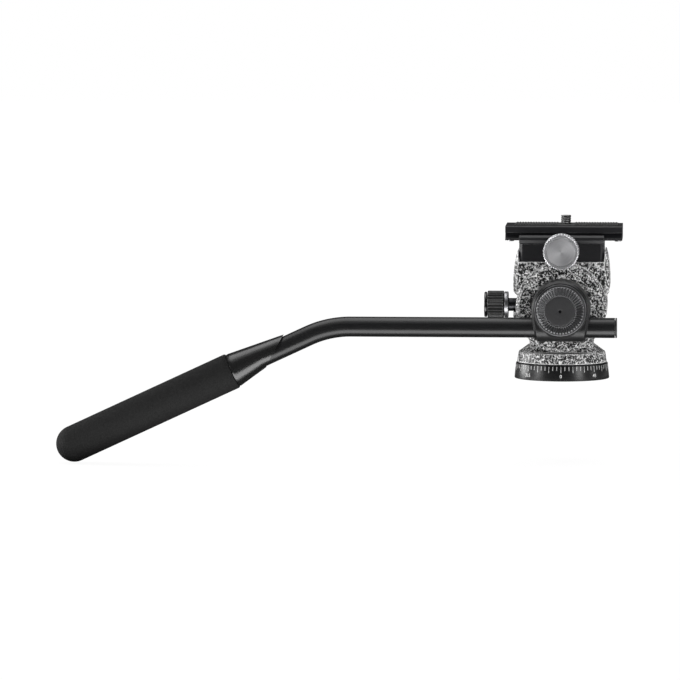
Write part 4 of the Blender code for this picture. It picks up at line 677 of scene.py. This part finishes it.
# Clamp knob: knurled bare aluminium on a steel stud, which screws into the jaw, with a disc
# brushed in circles let into its end.
knob_place = (0, 0, 0.078)
knurl_teeth, knurl_depth = 40, 0.0007
knurl_profile = divided(rounded([(0.0031, 0.0249), (0.0056, 0.0249), (0.0056, 0.0276), (0.0108, 0.0276),
                                 (0.0108, 0.038), (0.0086, 0.038), (0.0086, 0.0372), (0, 0.0372),
                                 (0, 0.0342), (0.0031, 0.0342)], 0.0007, 4), 0.0007)
clamp_knob = placed("clamp_knob_knurled", lathed(knurl_profile, 320), finish=aluminium)
ridged(clamp_knob, knurl_teeth, knurl_depth, 0.0279, 0.0384, 0.0088, fade=0.0004, power=1.3)
laid(clamp_knob, towards("handle", knob_place), 50)
shown(clamp_knob, "clamp_turn", ["clamp_knob"])


def brushed_face(centre):
    """Aluminium brushed in circles about a point, with a painted highlight in two broad fans across it,
    where such brushing would catch the light.
    """
    made = Finish("brushed_face", Metallic=1.0)
    around = made.mapped(centre=centre)
    x, z = (made.node("ShaderNodeSeparateXYZ", {}, {0: around}, axis) for axis in (0, 2))
    radius = Wire.maths("SQRT", x * x + z * z)
    turn = Wire.maths("ARCTAN2", z, x)
    rings = made.node("ShaderNodeCombineXYZ", {}, {0: radius * 5200, 1: turn * 0.8, 2: 0.0})
    ring = made.node("ShaderNodeTexNoise", {}, {"Vector": rings, "Scale": 1.0, "Detail": 2.0})
    # Painted highlight: two broad fans of lighter colour round the centre, standing in for the streaks
    # of light that circular brushing reflects.
    painted_fan_highlight = Wire.maths("COSINE", turn * 2 - 1.2) * 0.5 + 0.5
    cloud = made.noise(160.0, 2.0)
    base = made.mix(painted_fan_highlight * 0.6 + ring * 0.5 + cloud * 0.5 - 0.3, (0.5, 0.5, 0.52), (0.96, 0.96, 0.98))
    return made.link(Base_Color=base, Roughness=0.42 + (ring - 0.5) * 0.3,
                     Normal=made.bump(ring, 0.00003))


face_profile = divided(rounded([(0, 0.0375), (0.0083, 0.0375), (0.0083, 0.03785), (0, 0.0377)],
                               0.0001), 0.002)
clamp_face = placed("clamp_knob_face", lathed(face_profile, 96), towards("handle", knob_place),
                    brushed_face(knob_place))
shown(clamp_face, "clamp_turn", ["clamp_knob_cap"])
refinished(steel, "clamp_stud")

# Camera plate: an anodised dovetail with milled grooves along its sides, a stop screw at each end
# below, and a ribbed rubber pad let into its top.
plate = refined("camera_plate_milled", "plate_body", 0.0003, milled_black)
shown(plate, "plate", ["plate_body"])
stop_spots = [(-0.031, 0, 0.0836), (0.0334, 0, 0.0836)]
stop_profile = rounded([(0, -0.0013), (0.0019, -0.0013), (0.0019, 0), (0.0014, 0), (0.0014, 0.0032),
                        (0, 0.0032)], 0.00015)
for number, spot in enumerate(stop_spots, 1):
    stop = placed(f"plate_stop_screw_{number}_socket", lathed(stop_profile, 40),
                  Matrix.Translation(spot), steel)
    cut(stop, key_hole(0.001, 6, -0.003, -0.0004, spot, "up"))
    shown(stop, "plate", [f"plate_stop_screw_{number}"])
rubber = Finish("pad_rubber", IOR=1.5)
rubber_grain, rubber_cloud = rubber.noise(2200.0, 3.0), rubber.noise(120.0, 3.0)
dark_rubber, light_rubber = (0.012, 0.012, 0.012), (0.03, 0.03, 0.03)
black_rubber = rubber.link(Base_Color=rubber.mix(rubber_cloud, dark_rubber, light_rubber),
                           Roughness=0.72 + (rubber_grain - 0.5) * 0.2,
                           Normal=rubber.bump(rubber_grain, 0.0001))
rib_pitch, rib_half, rib_height, ribs_in_row = 0.0016, 0.00062, 0.0005, 16
pad_base = placed("pad_base", bar((-0.0284, -0.0134, 0.0914), (0.0336, 0.0134, 0.0929), 0.0003),
                  finish=black_rubber)
cut(pad_base, key_hole(0.0034, 48, 0.09, 0.095, (0.0022, 0, 0), "up"))


def pad_ribs(name, first):
    """Half-round ribs across the pad, in a row along X from a first one."""
    shape = bmesh.new()
    rows = []
    for end in (-0.0128, 0.0128):
        arc = [math.pi * step / 6 for step in range(7)]
        rows.append([shape.verts.new((first + rib_half * math.cos(turn), end,
                                      0.0928 + rib_height * math.sin(turn))) for turn in arc])
    for step in range(6):
        shape.faces.new((rows[0][step], rows[0][step + 1], rows[1][step + 1], rows[1][step]))
    shape.faces.new(rows[0])
    shape.faces.new(rows[1])
    shape.faces.new((rows[0][0], rows[0][-1], rows[1][-1], rows[1][0]))
    return repeated(name, placed("rib", shape), black_rubber, ribs_in_row, step=(rib_pitch, 0, 0))


pad = joined("plate_pad_ribbed", pad_base, pad_ribs("ribs_behind", -0.0272),
             pad_ribs("ribs_in_front", 0.0082))
shown(pad, "plate", ["plate_pad"])

# Camera screw: browned steel, with the camera's thread above the pad and a coin slot in its head
# below. A steel ring in the plate keeps it from falling out.
screw_centre = (0.0022, 0, 0)
camera_pitch, camera_thread_depth = 0.00127, 0.00055
dark_steel = worn_metal("browned_steel", (0.2, 0.2, 0.2), 0.36)
camera_profile = rounded([(0, 0.0842), (0.0068, 0.0842), (0.0068, 0.086), (0.003175, 0.086),
                          (0.003175, 0.0899), (0.0024, 0.0899), (0.0024, 0.0911), (0.003175, 0.0911),
                          (0.003175, 0.0981), (0, 0.0981)], 0.0004)
camera_screw = placed("camera_screw_threaded", lathed(divided(camera_profile, 0.00016), 64),
                      finish=dark_steel)
ridged(camera_screw, 1, camera_thread_depth, 0.0915, 0.0979, 0.002, fade=0.0004, lead=1 / camera_pitch)
laid(camera_screw, Matrix.Translation(screw_centre), 50)
cut(camera_screw, placed("cutter", bar((-0.009, -0.0008, 0.082), (0.009, 0.0008, 0.0853)),
                         Matrix.Translation(screw_centre)), angle=50)
shown(camera_screw, "camera_turn", ["camera_screw"])
refinished(steel, "screw_retainer")

# Handle collar: an anodised casting that turns about the tilt axis. Its split sleeve holds the
# tube when the handle knob is tight.
collar = refined("handle_collar_cast", "handle_collar", 0.0007, satin_black, 3)
shown(collar, "collar", ["handle_collar"])

# Handle knob: a turned washer, a serrated cone and an inset face with a hole at its centre, all
# dark grey anodised, on a steel stud that screws into the tilt axle.
handle_knob_place = towards("handle", tilt_centre)
cone_teeth, cone_tooth_depth, dot_radius = 48, 0.00095, 0.001
grey_knob = turned_black("grey_knob", (0.1, 0.1, 0.103), 0.34, (2400, 2400, 2400), Metallic=0.85)
flange_profile = rounded([(0.004, 0.0443), (0.0154, 0.0443), (0.0154, 0.0465), (0.004, 0.0465)], 0.0005)
flange = placed("knob_flange_turned", lathed(flange_profile, 128), handle_knob_place, grey_knob)
shown(flange, "handle_turn", ["knob_flange"])
cone_profile = divided(rounded([(0.004, 0.0468), (0.0142, 0.0468), (0.0142, 0.048), (0.0101, 0.054),
                                (0.009, 0.054), (0.009, 0.053), (dot_radius, 0.053),
                                (dot_radius, 0.0519), (0.004, 0.0519)], 0.0003), 0.0006)
cone = placed("handle_knob_serrated", lathed(cone_profile, 384), finish=grey_knob)
ridged(cone, cone_teeth, cone_tooth_depth, 0.0481, 0.0543, 0.0094, fade=0.0003, power=1.2)
laid(cone, handle_knob_place, 50)
shown(cone, "handle_turn", ["handle_knob"])
cap_profile = divided(rounded([(dot_radius, 0.0531), (0.0087, 0.0531), (0.0087, 0.054),
                               (dot_radius, 0.0539)], 0.00015), 0.003)
knob_cap = placed("handle_knob_face", lathed(cap_profile, 96), handle_knob_place, grey_knob)
shown(knob_cap, "handle_turn", ["handle_knob_cap"])
refinished(black_steel, "knob_stud")

# Handle tube: drawn aluminium, bent down towards the grip and anodised black, with a plastic plug
# in its front end.
tube_y, tube_z = -0.0363, 0.033
tube_radius, tube_bore, tube_front, tube_tail = 0.006, 0.0048, 0.0322, 0.148
bend_x, bend_angle, bend_radius = -0.1386, math.radians(25), 0.06
bend_reach = bend_radius * math.tan(bend_angle / 2)
drawn_black = turned_black("drawn_black", (0.009, 0.009, 0.0095), 0.28, (90, 2600, 2600))


def past_bend(distance):
    """The tube's centre at a distance past the bend's corner."""
    return Vector((bend_x - distance * math.cos(bend_angle), tube_y,
                   tube_z - distance * math.sin(bend_angle)))


def tube_stations():
    """Centres and headings along the tube, from its front end to its tail."""
    straight = bend_x + bend_reach - tube_front
    stations = [(Vector((tube_front + straight * step / 12, tube_y, tube_z)), 0.0)
                for step in range(12)]
    for step in range(25):
        heading = bend_angle * step / 24
        centre = (bend_x + bend_reach - bend_radius * math.sin(heading), tube_y,
                  tube_z - bend_radius * (1 - math.cos(heading)))
        stations.append((Vector(centre), heading))
    stations += [(past_bend(bend_reach + (tube_tail - bend_reach) * step / 8), bend_angle)
                 for step in range(1, 9)]
    return stations


def walled(shape, skins, steps):
    """Faces over an outer and an inner skin of rings, and over both ends of the wall."""
    pairs = [pair for rings in skins for pair in zip(rings, rings[1:])]
    pairs += [(skins[0][0], skins[1][0]), (skins[0][-1], skins[1][-1])]
    for ring, following in pairs:
        for step in range(steps):
            after = (step + 1) % steps
            shape.faces.new((ring[step], ring[after], following[after], following[step]))
    return shape


def swept(radii, stations, steps):
    """A tube's skin along its stations, once for each radius, closed at both ends."""
    shape = bmesh.new()
    skins = []
    for radius in radii:
        rings = []
        for centre, heading in stations:
            up = Vector((-math.sin(heading), 0, math.cos(heading)))
            turns = [2 * math.pi * step / steps for step in range(steps)]
            rings.append([shape.verts.new(centre + Vector((0, radius * math.cos(turn), 0))
                                          + up * radius * math.sin(turn)) for turn in turns])
        skins.append(rings)
    return walled(shape, skins, steps)


tube = placed("handle_tube_drawn", swept((tube_radius, tube_bore), tube_stations(), 64),
              finish=drawn_black)
shown(tube, "handle", ["handle_tube"])
plug_profile = rounded([(0, 0.0262), (0.0045, 0.0262), (0.0045, 0.0325), (0.006, 0.0325),
                        (0.006, 0.0335), (0, 0.0335)], 0.0004)
tube_plug = placed("tube_plug_moulded", lathed(plug_profile, 64), towards("front", (0, tube_y, tube_z)),
                   black_plastic)
shown(tube_plug, "handle", ["tube_plug"])

# Ferrule: a glossy black moulding pushed over the joint of tube and grip, with its mouth cut on
# the slant.
ferrule_radius, ferrule_bore = 0.0104, 0.0063
ferrule_top, ferrule_foot, ferrule_ease = 0.0366, 0.0186, 0.0006
tip_offset, foot_offset = 0.0069, 0.00665
straight_after_bend = 0.0135
grip_start = bend_reach + straight_after_bend + ferrule_top


def ferrule_shape(steps=96, rows=28):
    """Rings that grow from the tube to the grip, and end on a slanted plane at the mouth."""
    slant = (ferrule_top - ferrule_foot) / (tip_offset + foot_offset)

    def outside(turn, along):
        foot_share = min(1.0, along / ferrule_foot)
        top = ferrule_radius + (tip_offset - ferrule_radius) * along / ferrule_top
        foot = ferrule_radius + (foot_offset - ferrule_radius) * foot_share
        eased = min(0.0, along - ferrule_ease) * 0.5
        return ((top - foot) / 2 + (top + foot + 2 * eased) / 2 * math.sin(turn),
                (top + eased) * math.cos(turn))

    def inside(turn, along):
        return (ferrule_bore * math.sin(turn), ferrule_bore * math.cos(turn))

    shape = bmesh.new()
    skins = []
    for form in (outside, inside):
        rings, ends = [], []
        for step in range(steps):
            turn, along = 2 * math.pi * step / steps, ferrule_foot
            for _ in range(40):
                along = ferrule_foot + slant * (form(turn, along)[0] + foot_offset)
            ends.append(along)
        for row in range(rows + 1):
            ring = []
            for step in range(steps):
                along = ends[step] * (row / rows)
                height, across = form(2 * math.pi * step / steps, along)
                ring.append(shape.verts.new((-height, across, along)))
            rings.append(ring)
        skins.append(rings)
    return walled(shape, skins, steps)


ferrule_gap = 0.0003
ferrule_turn = Euler((0, math.pi / 2 - bend_angle, 0))
ferrule_place = Matrix.LocRotScale(past_bend(grip_start - ferrule_gap), ferrule_turn, None)
ferrule = placed("ferrule_moulded", ferrule_shape(), ferrule_place, gloss_black)
shown(ferrule, "handle", ["ferrule"])

# Grip: a moulded sleeve of closed-cell foam with a round end, pushed over the tube up to the
# ferrule.
foam = Finish("grip_foam", Specular_IOR_Level=0.2)
pores, swell, cells = foam.noise(1500.0, 3.0), foam.noise(70.0, 2.0), foam.noise(3600.0, 2.0)
pit = ((pores - 0.42) * 5).clamped()
dark_foam, light_foam = (0.001, 0.001, 0.001), (0.007, 0.007, 0.007)
foam_black = foam.link(Base_Color=foam.mix(pit * 0.7 + swell * 0.3, dark_foam, light_foam),
                       Roughness=0.85 + (cells - 0.5) * 0.2,
                       Normal=foam.bump(pores * 0.7 + cells * 0.5, 0.0003))
grip_radius, grip_length = 0.011, 0.1053
grip_profile = [(0.0063, 0.0), (0.0102, 0.0), (0.0107, 0.0002), (0.0110, 0.0009)]
grip_profile += [(grip_radius, grip_length * step / 24) for step in range(1, 25)]
grip_profile += [(grip_radius * math.cos(math.pi / 2 * step / 16), grip_length
                  + grip_radius * math.sin(math.pi / 2 * step / 16)) for step in range(1, 16)]
grip_profile += [(0, grip_length + grip_radius), (0, 0.0849), (0.0063, 0.0849)]
grip_place = Matrix.LocRotScale(past_bend(grip_start), Euler((0, -(math.pi / 2 + bend_angle), 0)), None)
grip = placed("foam_grip", lathed(grip_profile, 96), grip_place, foam_black)
shown(grip, "handle", ["grip"])

# Photo stage: a pale floor that fades into an even white surround, soft lamps, dark cards that
# only reflections see, and a long lens.
floor_z, reach = -0.0502, 6.0
fade_start, fade_slope, near_share, floor_glow = 0.45, 1.2, 0.9, 1.03
floor_shape = bmesh.new()
bmesh.ops.create_grid(floor_shape, x_segments=8, y_segments=8, size=reach)
floor = placed("floor", floor_shape, Matrix.Translation((0, 0, floor_z)))
floor_paint = bpy.data.materials.new("floor_paint")
floor_paint.use_nodes = True
floor_tree = floor_paint.node_tree
floor_tree.nodes.clear()


def floor_node(kind, settings=None, sockets=None, output=0):
    return Wire.node(floor_tree, kind, settings, sockets, output)


seen = floor_node("ShaderNodeLightPath", output="Is Camera Ray")
mirrored = floor_node("ShaderNodeLightPath", output="Is Glossy Ray")
through = floor_node("ShaderNodeLightPath", output="Is Transmission Ray")
floor_spot = floor_node("ShaderNodeTexCoord", output="Object")
away = floor_node("ShaderNodeVectorMath", {"operation": "LENGTH"}, {0: floor_spot}, output="Value")
faded = ((away - fade_start) * fade_slope).clamped()
share = ((seen + mirrored + through).clamped() * (near_share + faded * (1 - near_share))).clamped()
matt = floor_node("ShaderNodeBsdfDiffuse", {}, {"Color": (0.86, 0.86, 0.86, 1)})
glow = floor_node("ShaderNodeEmission", {}, {"Color": (1, 1, 1, 1), "Strength": floor_glow})
both = floor_node("ShaderNodeMixShader", {}, {0: share, 1: matt, 2: glow})
floor_end = floor_tree.nodes.new("ShaderNodeOutputMaterial")
floor_tree.links.new(both.socket, floor_end.inputs["Surface"])
floor.data.materials.append(floor_paint)

world = bpy.data.worlds.new("surround")
bpy.context.scene.world = world
world.use_nodes = True
world_tree = world.node_tree
world_tree.nodes.clear()


def world_node(kind, settings=None, sockets=None, output=0):
    return Wire.node(world_tree, kind, settings, sockets, output)


surround_white, surround_light = 1.0, 0.5
rays = [world_node("ShaderNodeLightPath", output=f"Is {kind} Ray")
        for kind in ("Camera", "Glossy", "Transmission")]
plain = (rays[0] + rays[1] + rays[2]).clamped()
strength = plain * surround_white + (1 - plain) * surround_light
surround = world_node("ShaderNodeBackground", {}, {"Color": (1, 1, 1, 1), "Strength": strength})
world_end = world_tree.nodes.new("ShaderNodeOutputWorld")
world_tree.links.new(surround.socket, world_end.inputs["Surface"])


def lamp(name, place, target, size, power):
    """A square soft lamp that faces a point."""
    light = bpy.data.lights.new(name, "AREA")
    light.shape, light.size, light.size_y, light.energy = "RECTANGLE", size[0], size[1], power
    made = bpy.data.objects.new(name, light)
    bpy.context.scene.collection.objects.link(made)
    made.location = place
    made.rotation_euler = (Vector(target) - Vector(place)).to_track_quat("-Z", "Y").to_euler()
    made.visible_camera = False
    return made


lamp_distance, lamp_rise, lamp_aim = 1.3, math.radians(9), (-0.06, 0, 0.2)


def side_lamp(name, azimuth, width, power):
    """An upright lamp beside the object: azimuth 0 is the camera's side, and 90 the head's front."""
    turn, level = math.radians(azimuth), lamp_distance * math.cos(lamp_rise)
    place = (lamp_aim[0] + level * math.sin(turn), -level * math.cos(turn),
             lamp_distance * math.sin(lamp_rise))
    lamp(name, place, lamp_aim, (width, 0.5), power)


lamp("overhead_lamp", (-0.1, 0.1, 1.15), (-0.1, 0, 0), (1.5, 0.9), 10)
side_lamp("left_lamp", -58, 0.33, 6)
side_lamp("left_back_lamp", -105, 0.56, 12)
side_lamp("right_lamp", 46, 0.26, 6)
side_lamp("front_lamp", 86, 0.1, 1.4)
table_lamp = lamp("table_lamp", (-0.15, -0.11, -0.0498), (-0.15, -0.11, 1.0), (0.6, 0.09), 0.9)
table_lamp.visible_diffuse = False


def dark_card(name, shape):
    """A dark card that only reflections see. It keeps black pieces black."""
    paint = bpy.data.materials.new(name)
    paint.use_nodes = True
    tree = paint.node_tree
    tree.nodes.clear()
    grey = Wire.node(tree, "ShaderNodeEmission", {}, {"Color": (1, 1, 1, 1), "Strength": 0.05})
    tree.links.new(grey.socket, tree.nodes.new("ShaderNodeOutputMaterial").inputs["Surface"])
    made = placed(name, shape, finish=paint)
    made.visible_camera = made.visible_diffuse = made.visible_shadow = False
    made.visible_transmission = made.visible_volume_scatter = False


card_foot, card_top = floor_z + 0.0001, floor_z + 0.0003
dark_card("studio_wall", lathed([(2.2, floor_z), (2.2, 2.6), (2.25, 2.6), (2.25, floor_z)], 64))
dark_card("table_card_behind", bar((-0.9, -0.05, card_foot), (0.6, 1.2, card_top)))
dark_card("table_card_in_front", bar((-0.9, -1.4, card_foot), (0.6, -0.17, card_top)))

camera_lens = bpy.data.cameras.new("camera")
camera = bpy.data.objects.new("camera", camera_lens)
bpy.context.scene.collection.objects.link(camera)
bpy.context.scene.camera = camera
turn, rise, distance = math.radians(3.84), math.radians(4.76), 3.0
middle, film_width, view_width = Vector((-0.1317, -0.036, 0.0249)), 36, 0.4062
back = Vector((math.sin(turn) * math.cos(rise), -math.cos(turn) * math.cos(rise), math.sin(rise)))
camera.location = middle + back * distance
camera.rotation_euler = (-back).to_track_quat("-Z", "Y").to_euler()
camera_lens.sensor_width = film_width
camera_lens.lens = film_width * distance / view_width
camera_lens.clip_start, camera_lens.clip_end = 0.1, 50
bpy.context.scene.view_settings.view_transform = "Standard"
